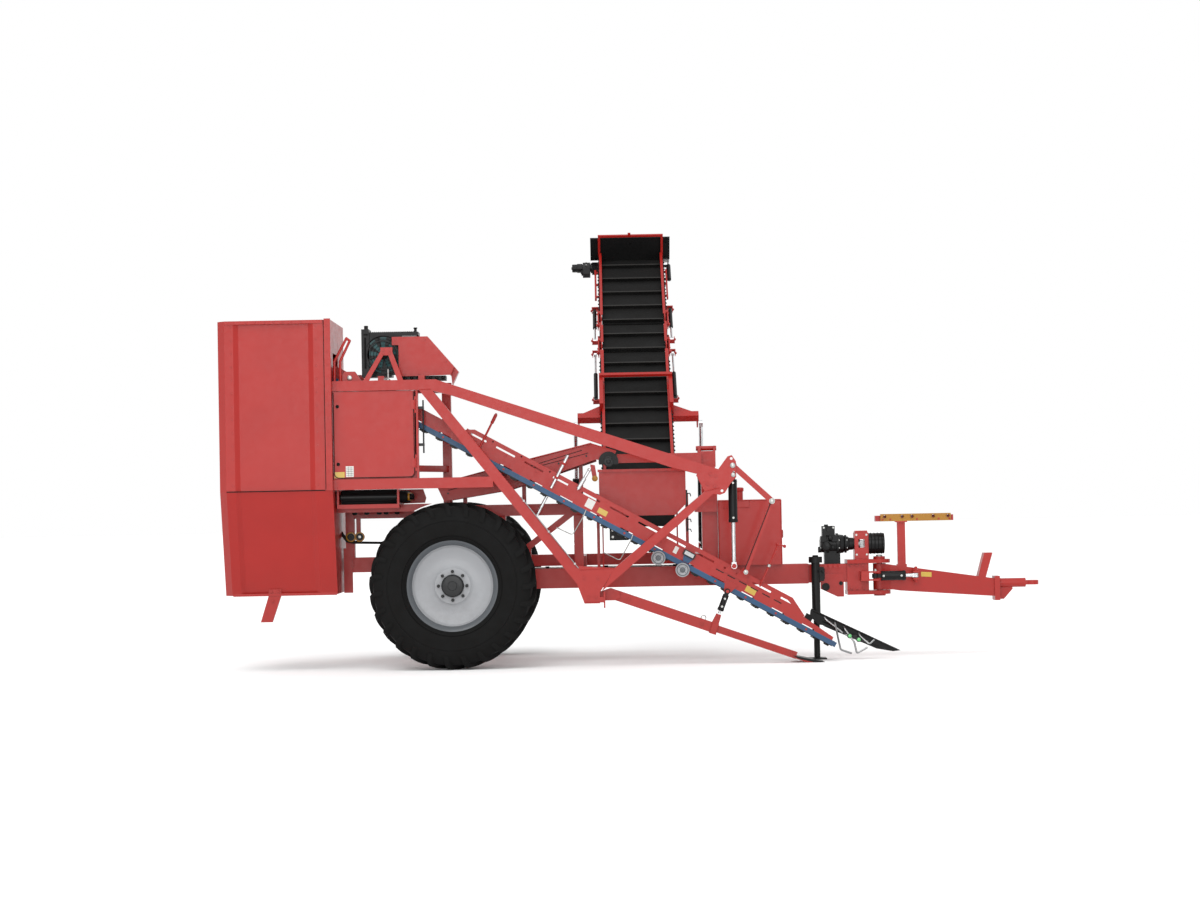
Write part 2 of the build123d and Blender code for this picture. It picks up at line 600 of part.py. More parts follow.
def conveyor():
    """Transfer conveyor from the rollers up and forward to the hopper."""
    y0, y1 = -740.0, -130.0
    top, low = [(-180, 1832), (113, 1905), (774, 2072), (1389, 2219)], [(564, 1763), (-100, 1660)]
    slope = [*top, (1643, 2137), (1600, 2030), (1430, 2052), *low]
    far_slope = [*top, (1440, 2200), (1440, 2040), *low]
    walls = [side_plate(slope, y0, y0 + SHEET), side_plate(far_slope, y1 - SHEET, y1)]
    cross = []
    for x in (100, 700, 1280):
        z = 1772 + 0.2467 * x - (BELT_T + SEAT + BED_BAR_R) * 1.03
        bar = round_bar((x, y0 + SHEET, z), (x, y1 - SHEET, z), BED_BAR_R)
        cross.append(fused(bar, block(x - 20, x + 20, INNER_Y0 + 10, INNER_Y1 - 10, 1616, z)))
    start, end = (0, 1772), (1430, 1772 + 0.2467 * 1430)
    belt = strip(start, end, -BELT_T, 0, y0 + SHEET + 3, y1 - SHEET - 3)
    x, z = CONVEYOR_DRIVE
    guard = round_bar((x, y0 - 22, z), (x, y0, z), 100)
    guard = guard - block(x - 130, x + 130, y0 - 30, y0 + 10, z - 130, z - 30)
    hub = fused(guard, round_bar((x, y0 - 44, z), (x, y0, z), 54))
    return {
        "conveyor_trough": Compound(children=[*walls, *cross]),
        "conveyor_belt": belt,
        "conveyor_drive": hub,
    }


def hopper():
    x0, x1, y0, y1, z0, z1 = HOPPER
    near = side_plate(
        [(x0, z0 + 220), (x0 + 10, z0), (x1 - 110, z0), (x1, z0 + 110), (x1, z1), (x0, z1)], y0, y0 + SHEET)
    left = end_plate([(y0 + SHEET, z0), (y1, z0 + 350), (y1, z1), (y0 + SHEET, z1)], x0, x0 + SHEET)
    right = end_plate([(y0 + SHEET, z0 + 110), (y1, z0 + 350), (y1, z1), (y0 + SHEET, z1)], x1 - SHEET, x1)
    rim_bar = block(x0 - 12, x1 + 12, y0 - 14, y0, z1 - 26, z1)
    legs = [block(x, x + 30, BEAM_Y - 95, BEAM_Y - 55, BEAM_TOP, 1700) for x in (x0 - 30, x1)]
    boot = [
        block(1500, 2220, y0, y0 + 12, 1380, z0),
        block(1500, 2220, y0, -300, 1368, 1380),
        block(1560, 1752, y0 - 10, y0 + 90, 1235, 1368),
    ]
    return {
        "hopper": Compound(children=[near, left, right, rim_bar, *legs]),
        "hopper_boot": Compound(children=boot),
    }


# ---------------------------------------------------------------- tank, pump and steering head
def tank():
    body = block(2668, 3300, -600, -130, BEAM_TOP, 1618)
    filler = round_bar((2890, -420, 1618), (2890, -420, 1714), 38)
    gauge = block(3300, 3330, -420, -360, 1223, 1305)
    return {"tank": fused(body, filler, gauge)}


def head():
    """Steering head: the beam's end blocks, the fork that holds the drawbar, and the jack's seat."""
    y = BEAM_Y
    neck = block(BEAM_FRONT, 4125, y - 90, y + 90, 765, 950)
    web = block(3960, 4180, y - 110, y + 110, FORK_LOW, FORK_TOP)
    plates = []
    for z in (FORK_LOW, FORK_TOP - FORK_PLATE):
        outline = [(3960, y - 150), (4290, y - 110), (4290, y + 110), (3960, y + 150)]
        plates.append(flat_plate(outline, z, z + FORK_PLATE))
        plates.append(round_bar((STEER_PIVOT[0], y, z), (STEER_PIVOT[0], y, z + FORK_PLATE), 110))
    bosses = [
        round_bar((STEER_PIVOT[0], y, FORK_TOP), (STEER_PIVOT[0], y, FORK_TOP + 27), 60),
        round_bar((STEER_PIVOT[0], y, FORK_LOW - 18), (STEER_PIVOT[0], y, FORK_LOW), 60),
    ]
    pin = round_bar((STEER_PIVOT[0], y, FORK_LOW), (STEER_PIVOT[0], y, FORK_TOP), 30)
    gap, lug_t = 32, 16
    lugs = [block(4100, 4270, STEER_BASE[1] - 36, STEER_BASE[1] + 36, z, z + lug_t)
            for z in (STEER_Z - gap - lug_t, STEER_Z + gap)]
    lug_back = block(4090, 4170, STEER_BASE[1] - 36, y - 100, STEER_Z - gap - lug_t, STEER_Z + gap + lug_t)
    base_pin = round_bar((*STEER_BASE, STEER_Z - gap - lug_t), (*STEER_BASE, STEER_Z + gap + lug_t), 14)
    hole_plate = side_plate([(3690, 850), (3925, 850), (3925, 618), (3860, 618), (3690, 700)], y - 104, y - 90)
    for x, z, radius in ((3742, 720, 35), (3896, 754, 14)):
        hole_plate = hole_plate - round_bar((x, y - 105, z), (x, y - 89, z), radius)
    jack_seat = fused(
        block(JACK_X - 30, JACK_X + 30, JACK_Y + JACK_R - 6, y - 90, 780, 930),
    )
    sleeve = round_bar((JACK_X, JACK_Y, JACK_SLEEVE_LOW), (JACK_X, JACK_Y, JACK_TOP), JACK_R)
    bore_r = JACK_LEG_R + RUN
    sleeve = sleeve - round_bar((JACK_X, JACK_Y, JACK_SLEEVE_LOW - 1), (JACK_X, JACK_Y, JACK_TOP - 20), bore_r)
    latch = block(JACK_X + JACK_R - 8, JACK_X + 82, JACK_Y - 20, JACK_Y + 20, 784, 926)
    cap = round_bar((JACK_X, JACK_Y, JACK_TOP - 60), (JACK_X, JACK_Y, JACK_TOP), 68) - round_bar(
        (JACK_X, JACK_Y, JACK_TOP - 61), (JACK_X, JACK_Y, JACK_TOP), JACK_R)
    body = fused(neck, web, *plates, *bosses, pin, *lugs, lug_back, base_pin, hole_plate)
    seat = jack_seat - round_bar((JACK_X, JACK_Y, 700), (JACK_X, JACK_Y, 1000), JACK_R)
    return {"steering_head": fused(body, seat), "jack_sleeve": fused(sleeve, cap, latch)}


def pump():
    """Gear pump with its gearbox, its bracket on the steering head and the drive shaft's guard."""
    y, z = BEAM_Y, PTO_Z
    turned = turned_x(
        [(3700, 62), (3706, 84), (3760, 84), (3760, 104), (3784, 104), (3784, 92), (3862, 92), (3862, 110),
         (3884, 110), (3884, 98), (3950, 80), (3950, 92), (3966, 92), (3966, 56), (4045, 56)], y, z)
    foot = block(3740, 3900, y - 60, y + 60, 950, z)
    top = block(3721, 3850, y - 50, y + 50, z + 40, 1336)
    port = round_bar((3786, y - 50, 1300), (3786, y - 74, 1300), 22)
    hx = 4045.0
    bracket = block(hx, hx + 142, y - 80, y + 80, FORK_TOP, 1262)
    bracket = bracket - block(hx + 40, hx + 104, y - 81, y + 81, z - 40, z + 44)
    cap = block(hx + 8, hx + 134, y - 70, y + 70, 1262, 1282)
    guard = round_bar((hx + 142, y, z), (4350, y, z), 105) - round_bar((hx + 155, y, z), (4351, y, z), 94)
    shaft = round_bar((hx + 155, y, z), (4330, y, z), 22)
    return {
        "pump": fused(turned, foot, top, port),
        "pto_bracket": fused(bracket, cap),
        "pto_guard": Compound(children=[guard, shaft]),
    }


# ---------------------------------------------------------------- drawbar
def drawbar():
    px, py = STEER_PIVOT
    hub = round_bar((px, py, TONGUE_LOW), (px, py, TONGUE_TOP), 66)
    side = side_plate(
        [(px, TONGUE_LOW), (4420, TONGUE_LOW), (4498, 668), (TONGUE_END, 593), (TONGUE_END, 772),
         (px + 10, TONGUE_TOP)],
        py - 100, py + 100)
    plan = flat_plate(
        [(px, py - 60), (4400, py - 100), (TONGUE_END, py - 65), (TONGUE_END, py + 65), (4400, py + 100),
         (px, py + 60)], 560, 1000)
    body = side & plan
    face = TONGUE_END + 49
    flange = block(TONGUE_END - 5, face, py - 85, py + 85, 551, 796)
    shank = round_bar((face, py, HITCH_Z), (HITCH_ARM + 12, py, HITCH_Z), 46)
    rib = side_plate([(face, 560), (face + 48, 560), (face + 138, 660), (face + 138, 700), (face, 700)],
                     py - 12, py + 12)
    eye = round_bar((HITCH_X, py, HITCH_Z - 22), (HITCH_X, py, HITCH_Z + 22), 66)
    arm = block(HITCH_ARM, HITCH_X, py - 44, py + 44, HITCH_Z - 22, HITCH_Z + 22)
    x = TONGUE_END - 172
    stop = side_plate([(x, 780), (x + 79, 780), (x + 154, 1034), (x + 69, 1034)], py - 70, py + 70)
    bore = round_bar((HITCH_X, py, HITCH_Z - 30), (HITCH_X, py, HITCH_Z + 30), HITCH_BORE)
    pivot = round_bar((px, py, TONGUE_LOW - 1), (px, py, TONGUE_TOP + 1), 30 + RUN)
    lug = [block(STEER_EYE[0] - 30, STEER_EYE[0] + 30, STEER_EYE[1] - 30, py - 85, z, z + 14)
           for z in (STEER_Z - 20 - 8 - 14, STEER_Z + 20 + 8)]
    pad = block(4470, 4570, py - 95, py - 35, 850, RACK_SEAT)
    post = block(4480, 4560, py - 90, py - 40, RACK_SEAT, 1360)
    yellow = block(4311, 5024, py - 110, py - 60, 1372, 1446)
    for x in RACK_HOLES:
        yellow = yellow - round_bar((x, py - 111, 1418), (x, py - 59, 1418), 17)
    red = block(4262, 5055, py - 60, py + 20, 1372, 1430)
    cap = block(4460, 4580, py - 110, py - 40, 1360, 1372)
    return {
        "drawbar": fused(body, hub, flange, shank, rib, eye, arm, stop, *lug, pad) - bore - pivot,
        "hose_rack": yellow,
        "rack_rail": Compound(children=[red, fused(post, cap)]),
    }


def cylinder(base, eye, across, barrel_r, rod_r, barrel_len, pin_r, base_r, eye_r, width, inside, neck=8.0):
    """A hydraulic cylinder's barrel and rod. base and eye are its end points, across is the pins' direction."""
    a, b, w = Vector(*base), Vector(*eye), Vector(*across).normalized()
    line = (b - a).normalized()
    start = base_r + neck
    base_eye = round_bar(a - w * (width / 2), a + w * (width / 2), base_r)
    tab = aimed_block(a, line, w, width, base_r * 1.5, start)
    shell = round_bar(a + line * start, a + line * barrel_len, barrel_r)
    bore = round_bar(a + line * (start + 12), a + line * (barrel_len + 1), rod_r + RUN)
    hole = round_bar(a - w * width, a + w * width, pin_r + RUN)
    barrel = fused(base_eye, tab, shell) - bore - hole
    tip = b - line * (eye_r + 10)
    rod = round_bar(a + line * (barrel_len - inside), tip, rod_r)
    rod_eye = round_bar(b - w * (width / 2), b + w * (width / 2), eye_r)
    clevis = aimed_block(tip, line, w, width, rod_r * 2.3, eye_r + 10)
    return barrel, fused(rod, clevis, rod_eye)


def steering_cylinder():
    barrel, rod = cylinder((*STEER_BASE, STEER_Z), (*STEER_EYE, STEER_Z), (0, 0, 1), 48, 18, 304, 14,
                           base_r=34, eye_r=26, width=40, inside=90, neck=26.0)
    return {"steer_barrel": barrel, "steer_rod": rod}


def jack():
    leg = round_bar((JACK_X, JACK_Y, 10), (JACK_X, JACK_Y, JACK_LEG_TOP), JACK_LEG_R)
    foot = block(JACK_X - 90, JACK_X + 90, JACK_Y - 90, JACK_Y + 90, 0, 14)
    return {"jack_leg": fused(leg, foot)}


def door():
    hx, hy = DOOR_HINGE
    low, high, right = LOW_RAIL_Z + RAIL + 9, TOP_RAIL_Z - CLEAR, hx - 6
    corner = []
    for i in range(5):
        a = math.radians(90 * i / 4)
        out = DOOR_ROUND * (1 - math.sin(a)), DOOR_ROUND * (1 - math.cos(a))
        corner.append((right - out[0], low + out[1]))
    panel = side_plate([(DOOR_X0, low), *corner, (right, high), (DOOR_X0, high)], hy + 6, hy + 6 + DOOR_T)
    knuckles = [round_bar((hx, hy, z), (hx, hy, z + KNUCKLE), 9) for z in DOOR_KNUCKLES]
    tabs = [block(hx - 40, hx - 7, hy - 4, hy + 7, z, z + KNUCKLE) for z in DOOR_KNUCKLES]
    bores = [round_bar((hx, hy, z - 1), (hx, hy, z + KNUCKLE + 1), 6 + RUN) for z in DOOR_KNUCKLES]
    return {"side_door": fused(panel, *knuckles, *tabs) - bores[0] - bores[1]}


# ---------------------------------------------------------------- lifting unit
def slope_frame(s, n, y=LIFT_MID):
    """Frame on the lifting unit with x down its slope, y across and z square to the slope."""
    a = math.radians(LIFT_SLOPE)
    x, z = on_slope(s, n)
    return Plane(origin=(x, y, z), x_dir=(math.cos(a), 0, -math.sin(a)), z_dir=(math.sin(a), 0, math.cos(a)))


def upright(s, y, radius, n0, n1):
    """Cylinder square to the lifting unit's slope."""
    return slope_frame(s, n0, y) * Cylinder(radius, n1 - n0, align=(Align.CENTER, Align.CENTER, Align.MIN))


def lifter_beams():
    """The two beams, the near one with its slotted guard rail, and their hinge tube, ties and eyes."""
    outline = [
        (REAR_S, BEAM_LOW), (LIFT_LEN - 56, BEAM_LOW), (LIFT_LEN - 56, -29), (LIFT_LEN - 408, 11),
        (LIFT_LEN - 520, BEAM_HIGH), (420, BEAM_HIGH), (300, 40), (REAR_S, 40)]
    beams = [lift_plate(outline, *y) for y in ((LIFT_Y0, LIFT_Y0 + 60), (LIFT_Y1 - 60, LIFT_Y1))]
    guard = lift_plate(
        [(GUARD_S, GUARD_LOW), (GUARD_S + 80, GUARD_HIGH), (LIFT_LEN - 595, GUARD_HIGH), (LIFT_LEN - 400, 20),
         (LIFT_LEN - 430, 8), (LIFT_LEN - 625, GUARD_LOW)], LIFT_Y0, LIFT_Y0 + 30)
    pads = [lift_box(GUARD_S, GUARD_S + 60, BEAM_HIGH - 4, GUARD_LOW, LIFT_Y0, LIFT_Y0 + 30)]
    s = GUARD_S + 240
    while s < LIFT_LEN - 700:
        pads.append(lift_box(s, s + 110, BEAM_HIGH, GUARD_LOW, LIFT_Y0, LIFT_Y0 + 30))
        s += GUARD_PITCH
    s = REAR_S
    while s < LIFT_LEN - 200:
        for y in ((LIFT_Y0, LIFT_Y0 + 30), (LIFT_Y1 - 30, LIFT_Y1)):
            pads.append(lift_box(s, s + 200, RAIL_HIGH, BEAM_LOW, *y))
        s += PAD_PITCH
    px, pz = LIFT_PIVOT
    tube = round_bar((px, LIFT_TUBE_Y0, pz), (px, LIFT_TUBE_Y1, pz), LIFT_TUBE_R)
    pins = [
        round_bar((px, SIDE_Y1 - 22, pz), (px, LIFT_TUBE_Y0 + 10, pz), 25),
        round_bar((px, LIFT_TUBE_Y1 - 10, pz), (px, INNER_Y0 + 36, pz), 25)]
    ties = [lift_box(s, s + 60, BEAM_HIGH - 6, BEAM_HIGH + 38, LIFT_Y0, LIFT_Y1) for s in (1250, 2400, 4200)]
    eyes = []
    for (s, n), reach, side in (
            (LIFT_EYE_AT, LIFT_CYL_Y + 33, 1), (DEPTH_TOP_AT, LIFT_CYL_Y - 26, -1),
            (LINK_EYE_AT, LINK_Y1 + 20, 1)):
        root = 40 if side > 0 else -20
        lug = [(s - 70, root), (s + 70, root), (s + 26, n + 26 * side), (s - 26, n + 26 * side)]
        eyes.append(lift_plate(lug, LIFT_Y0 - 12, LIFT_Y0))
        x, z = on_slope(s, n)
        eyes.append(round_bar((x, reach, z), (x, LIFT_Y0 - 2, z), 16))
    return fused(beams[0], beams[1], guard, *pads, tube, *ties, *eyes, *pins)


def gripping_belts():
    """The two belts, which run face to face between the rails, and the rollers that carry each of them."""
    loop_w = LIFT_MID - 1 - LIFT_Y0 - 34
    pulley_r = loop_w / 2 - GRIP_BELT - SEAT
    s0, s1 = REAR_S + 30, LIFT_LEN - 30
    belts, carriers = [], []
    for side, edge in ((-1, LIFT_Y0), (1, LIFT_Y1)):
        y = LIFT_MID + side * (1 + loop_w / 2)
        run = slope_frame((s0 + s1) / 2, RAIL_LOW + 4, y)
        loop = SlotOverall(s1 - s0, loop_w) - SlotOverall(s1 - s0 - 2 * GRIP_BELT, loop_w - 2 * GRIP_BELT)
        belts.append(extrude(run * loop, amount=BELT_HIGH - RAIL_LOW - 4))
        rolls = [(s0 + loop_w / 2, y, pulley_r), (s1 - loop_w / 2, y, pulley_r)]
        s = s0 + ROLLER_PITCH
        while s < s1 - ROLLER_PITCH / 2:
            rolls.append((s, LIFT_MID + side * (1 + GRIP_BELT + SEAT + GRIP_ROLL), GRIP_ROLL))
            s += ROLLER_PITCH
        inner = edge - side * 24
        near, far = sorted((edge, inner))
        pieces = [lift_box(REAR_S, LIFT_LEN - 30, RAIL_LOW - 6, RAIL_LOW, near, far)]
        for s, y_roll, radius in rolls:
            near, far = sorted((edge, y_roll - side * 14))
            pieces.append(lift_box(s - 16, s + 16, RAIL_LOW - 22, RAIL_LOW - 3, near, far))
            pieces.append(upright(s, y_roll, radius, RAIL_LOW - 3, BELT_HIGH - 2))
        carriers.append(fused(*pieces))
    return belts, carriers


def lifter():
    """Lifting unit with its belts, rails, idler discs and crop divider."""
    rails = [lift_box(REAR_S, LIFT_LEN, RAIL_LOW, RAIL_HIGH, *y)
             for y in ((LIFT_Y0, LIFT_Y0 + 30), (LIFT_Y1 - 30, LIFT_Y1))]
    belts, carriers = gripping_belts()
    discs = []
    for s, n in IDLERS:
        x, z = on_slope(s, n)
        disc = round_bar((x, LIFT_Y0 - 30, z), (x, LIFT_Y0 - 16, z), 70)
        hub = round_bar((x, LIFT_Y0 - 38, z), (x, LIFT_Y0, z), 24)
        arm = lift_box(s - 22, s + 22, n, RAIL_HIGH - 20, LIFT_Y0 - 12, LIFT_Y0)
        discs.append(fused(disc, hub, arm))
    # s from the nose, n
    blade = [(-359, 120), (-337, 46), (-154, 22), (408, 71), (568, 125), (631, 170)]
    divider = lift_plate([(LIFT_LEN + s, n) for s, n in blade], LIFT_MID + 140, LIFT_MID + 152)
    carrier = [(-359, 103), (-337, 46), (-221, 10), (-169, 30)]
    arm = lift_plate([(LIFT_LEN + s, n) for s, n in carrier], LIFT_Y1 - 10, LIFT_MID + 140)
    post = lift_box(LIFT_LEN - 380, LIFT_LEN - 300, 0, 60, LIFT_Y1, LIFT_MID + 142)
    return {
        "lifter_frame": lifter_beams(),
        "lifter_rails": Compound(children=rails),
        "lifter_belts": Compound(children=belts),
        "belt_rollers": Compound(children=carriers),
        "lifter_discs": Compound(children=discs),
        "crop_divider": fused(divider, arm, post),
    }


def lift_drive():
    """Lift and depth cylinders, and the two-bar link beside the nose plate."""
    (tx, tz), (ex, ez) = LIFT_CYL_TOP, LIFT_CYL_EYE
    barrel, rod = cylinder((tx, LIFT_CYL_Y, tz), (ex, LIFT_CYL_Y, ez), (0, 1, 0), 44, 20, 470, 18,
                           base_r=36, eye_r=28, width=50, inside=90)
    (tx, tz), (ex, ez) = DEPTH_TOP, DEPTH_EYE
    depth_barrel, depth_rod = cylinder((tx, LIFT_CYL_Y, tz), (ex, LIFT_CYL_Y, ez), (0, 1, 0), 30, 14, 205, 16,
                                       base_r=28, eye_r=20, width=40, inside=150)
    return {
        "lift_barrel": barrel, "lift_rod": rod, "depth_barrel": depth_barrel, "depth_rod": depth_rod,
        "link_upper": link_bar(LINK_TOP, LINK_KNEE, 28, 40, LINK_Y0, LINK_Y1),
        "link_lower": link_bar(LINK_EYE, LINK_KNEE, 20, 30, LINK_Y1 + 24, LINK_Y1 + 44),
    }


def link_bar(eye, knee, half, eye_r, y0, y1):
    """Flat bar from its eye to the knee."""
    (x, z), hole_r = eye, LINK_PIN_R + RUN
    bar = fused(strip(eye, knee, -half, half, y0, y1), round_bar((x, y0, z), (x, y1, z), eye_r))
    return bar - round_bar((x, y0 - 1, z), (x, y1 + 1, z), hole_r)


def share_plate(points, y0, y1):
    """Plate of the share beam, with its outline in s and n."""
    return side_plate([on_share(s, n) for s, n in points], y0, y1)


def share():
    """Share beam with its telescopic inner tube, its ears for the depth cylinder and its blade."""
    px, pz = SHARE_PIVOT
    y0, y1 = SHARE_Y0, SHARE_Y1
    arm = share_plate([(0, -50), (SHARE_ARM, -50), (SHARE_ARM, 50), (0, 50)], y0, y1)
    collar = share_plate([(SHARE_ARM - 66, -60), (SHARE_ARM, -60), (SHARE_ARM, 50), (SHARE_ARM - 66, 50)],
                         y0 - 7, y1 + 7)
    lug = round_bar((px, y0, pz), (px, y1, pz), 50)
    inner = share_plate([(SHARE_ARM - 40, -34), (SHARE_LEN, -34), (SHARE_LEN, 36), (SHARE_ARM - 40, 36)],
                        y0 + 8, y1 - 8)
    x, z = on_share(SHARE_LEN - 50, 0)
    blade = side_plate([(x, z - 30), (x, z + 20), (x + 70, 52), (x + 321, 0), (x + 150, 0)], y0, y1 + 160)
    s, n = DEPTH_EYE_S, DEPTH_EYE_N
    outline = [(s - 44, 20), (s + 30, 20), (s + 24, n + 22), (s - 24, n + 22)]
    ears = [share_plate(outline, y, y + 7) for y in (y0, y1 - 7)]
    pivot = round_bar((px, y0 - 1, pz), (px, y1 + 1, pz), 20 + RUN)
    return {"share_beam": fused(arm, collar, lug, inner, blade, *ears) - pivot}


# ---------------------------------------------------------------- elevator
def wall_faces(side, inner=0.0, outer=0.0):
    """X range beside a side wall's outer face, from inner to outer millimetres beyond it; side is -1 or 1."""
    face = ELEV_X0 - WALL_GAP - ELEV_WALL if side < 0 else ELEV_X1 + WALL_GAP + ELEV_WALL
    return sorted((face + side * inner, face + side * outer))


def elevator_section(s0, s1, cut0, cut1, last_bar=160.0):
    """Side walls between two knees and the bars between them; each cut is (below, above) the knee's pin."""
    low, top, mid = ELEV_WALL_LOW, ELEV_WALL_TOP, KNEE_N
    outline = [(s0 + cut0[0], low), (s1 - cut1[0], low), (s1 - 6, mid), (s1 - cut1[1], top),
               (s0 + cut0[1], top), (s0 + 6, mid)]
    walls = [elevator_plate(outline, *wall_faces(side, -ELEV_WALL)) for side in (-1, 1)]
    bars = []
    count = max(2, round((s1 - s0) / 600))
    for i in range(count):
        s = s0 + 160 + (s1 - s0 - 160 - last_bar) * i / (count - 1)
        # one bar under the upper run and one under the return run
        for n, radius in ((ELEV_ROLL - BED_BAR_R - SEAT, BED_BAR_R), (-ELEV_ROLL - BELT_T - SEAT - 12, 12)):
            bars.append(elevator_bar(s, n, ELEV_X0 - WALL_GAP, ELEV_X1 + WALL_GAP, radius))
    return walls, bars


def elevator_belt(s0, s1, first_flight, low_cut0, low_cut1):
    """Upper run with its flights, and the return run under it."""
    skin = ELEV_ROLL + BELT_T
    upper = elevator_box(s0, s1, ELEV_ROLL, skin, ELEV_X0, ELEV_X1)
    flights = []
    s = first_flight
    while s < s1 - 40:
        flights.append(elevator_box(s, s + 14, skin, skin + FLIGHT_H, ELEV_X0 + 6, ELEV_X1 - 6))
        s += FLIGHT_PITCH
    lower = elevator_box(s0 + low_cut0, s1 - low_cut1, -skin, -ELEV_ROLL, ELEV_X0, ELEV_X1)
    return fused(upper, *flights), lower


def elevator_belts():
    """The belt as three lengths, the first and the last with their end rollers."""
    start = 60.0
    runs = {
        "belt_low": elevator_belt(0, KNEE_1 - 12, start, 0, 90),
        "belt_mid": elevator_belt(KNEE_1 + 12, KNEE_2 - 12, start + 8 * FLIGHT_PITCH, 90, 90),
        "belt_tip": elevator_belt(KNEE_2 + 12, ELEV_END, start + 10 * FLIGHT_PITCH, 90, 0),
    }
    parts = {name: [upper, lower] for name, (upper, lower) in runs.items()}
    for name, s, way in (("belt_low", 0, 1), ("belt_tip", ELEV_END, -1)):
        roll = elevator_bar(s, 0, ELEV_X0, ELEV_X1, ELEV_ROLL - SEAT)
        shaft = elevator_bar(s, 0, ELEV_X0 - WALL_GAP, ELEV_X1 + WALL_GAP, 24)
        wrap = elevator_bar(s, 0, ELEV_X0, ELEV_X1, ELEV_ROLL + BELT_T)
        wrap = wrap - elevator_bar(s, 0, ELEV_X0 - 1, ELEV_X1 + 1, ELEV_ROLL)
        cut = sorted((s, s + way * 2 * ELEV_ROLL))
        wrap = wrap - elevator_box(*cut, -2 * ELEV_ROLL, 2 * ELEV_ROLL, ELEV_X0 - 1, ELEV_X1 + 1)
        parts[name] += [fused(roll, shaft), wrap]
    return parts


def outrigger(side, wall):
    """Low side wall with its arm out to the base cylinder, its brace and its leg of the hoop."""
    face = wall_faces(side)[0]
    end = BASE_CYL_X[0 if side < 0 else 1] - side * 24
    arm = elevator_box(RIG_S, RIG_S + 80, -10, 66, *sorted((end, face)))
    drop = elevator_box(RIG_S, RIG_S + 80, -90, 66, *sorted((end - side * 6, end - side * 20)))
    corners = [(face, RIG_S + 80), (end, RIG_S + 80), (face, RIG_S + 260)]
    y, z = on_elevator(0, 1)
    up = Vector(0, y - ELEV_TAIL[0], z - ELEV_TAIL[1])
    brace = Polyline([Vector(x, *on_elevator(s, 18)) for x, s in corners], close=True)
    brace = extrude(make_face(brace), amount=16, dir=up)
    x = wall_faces(side, -10, 30)
    leg = fused(
        elevator_box(RIG_S + 40, RIG_S + 80, 66, HOOP_N + 30, *x),
        elevator_box(RIG_S + 40, HOOP_S + 40, HOOP_N, HOOP_N + 30, *x),
        elevator_box(HOOP_S, HOOP_S + 40, 60, HOOP_N + 30, *x))
    tail_hole = elevator_bar(0, 0, *wall_faces(side, -ELEV_WALL - 1, 1), ELEV_PIN_R + RUN)
    return fused(wall, arm, drop, brace, leg) - tail_hole


def knee_plates(side):
    """Plates and pins round both knees on one side, for the low, middle and tip sections."""
    plates = {"elevator_low": [], "elevator_mid": [], "elevator_tip": []}
    near, far = wall_faces(side, 0, 14), wall_faces(side, 19, 34)
    both = wall_faces(side, 0, 34)
    for knee, behind, ahead in (
            (KNEE_1, "elevator_low", "elevator_mid"), (KNEE_2, "elevator_mid", "elevator_tip")):
        fixed = [(knee - 170, 20), (knee + 24, KNEE_N - 24), (knee + 24, KNEE_N + 24), (knee - 170, 130)]
        plates[behind].append(elevator_plate(fixed, *near))
        plates[behind].append(elevator_bar(knee, KNEE_N, *both, 14))
        turning = [(knee - 24, KNEE_N - 24), (knee + 100, -62), (knee + 200, -62), (knee + 200, 130),
                   (knee - 24, KNEE_N + 24)]
        hole = elevator_bar(knee, KNEE_N, far[0] - 1, far[1] + 1, 14 + RUN)
        plates[ahead].append(elevator_plate(turning, *far) - hole)
        plates[ahead].append(elevator_box(knee + 160, knee + 200, -62, 130, *both))
    # pins that carry the knee cylinders' barrels, and the lug for the second one's rod
    pin = wall_faces(side, 0, 84)
    plates["elevator_low"].append(elevator_bar(KNEE_1 - 700, KNEE_CYL_N, *pin, 10))
    plates["elevator_tip"].append(elevator_bar(KNEE_2 + 450, KNEE_CYL_N, *pin, 10))
    plates["elevator_mid"].append(elevator_box(KNEE_2 - 160, KNEE_2 - 110, -62, 10, *both))
    return plates


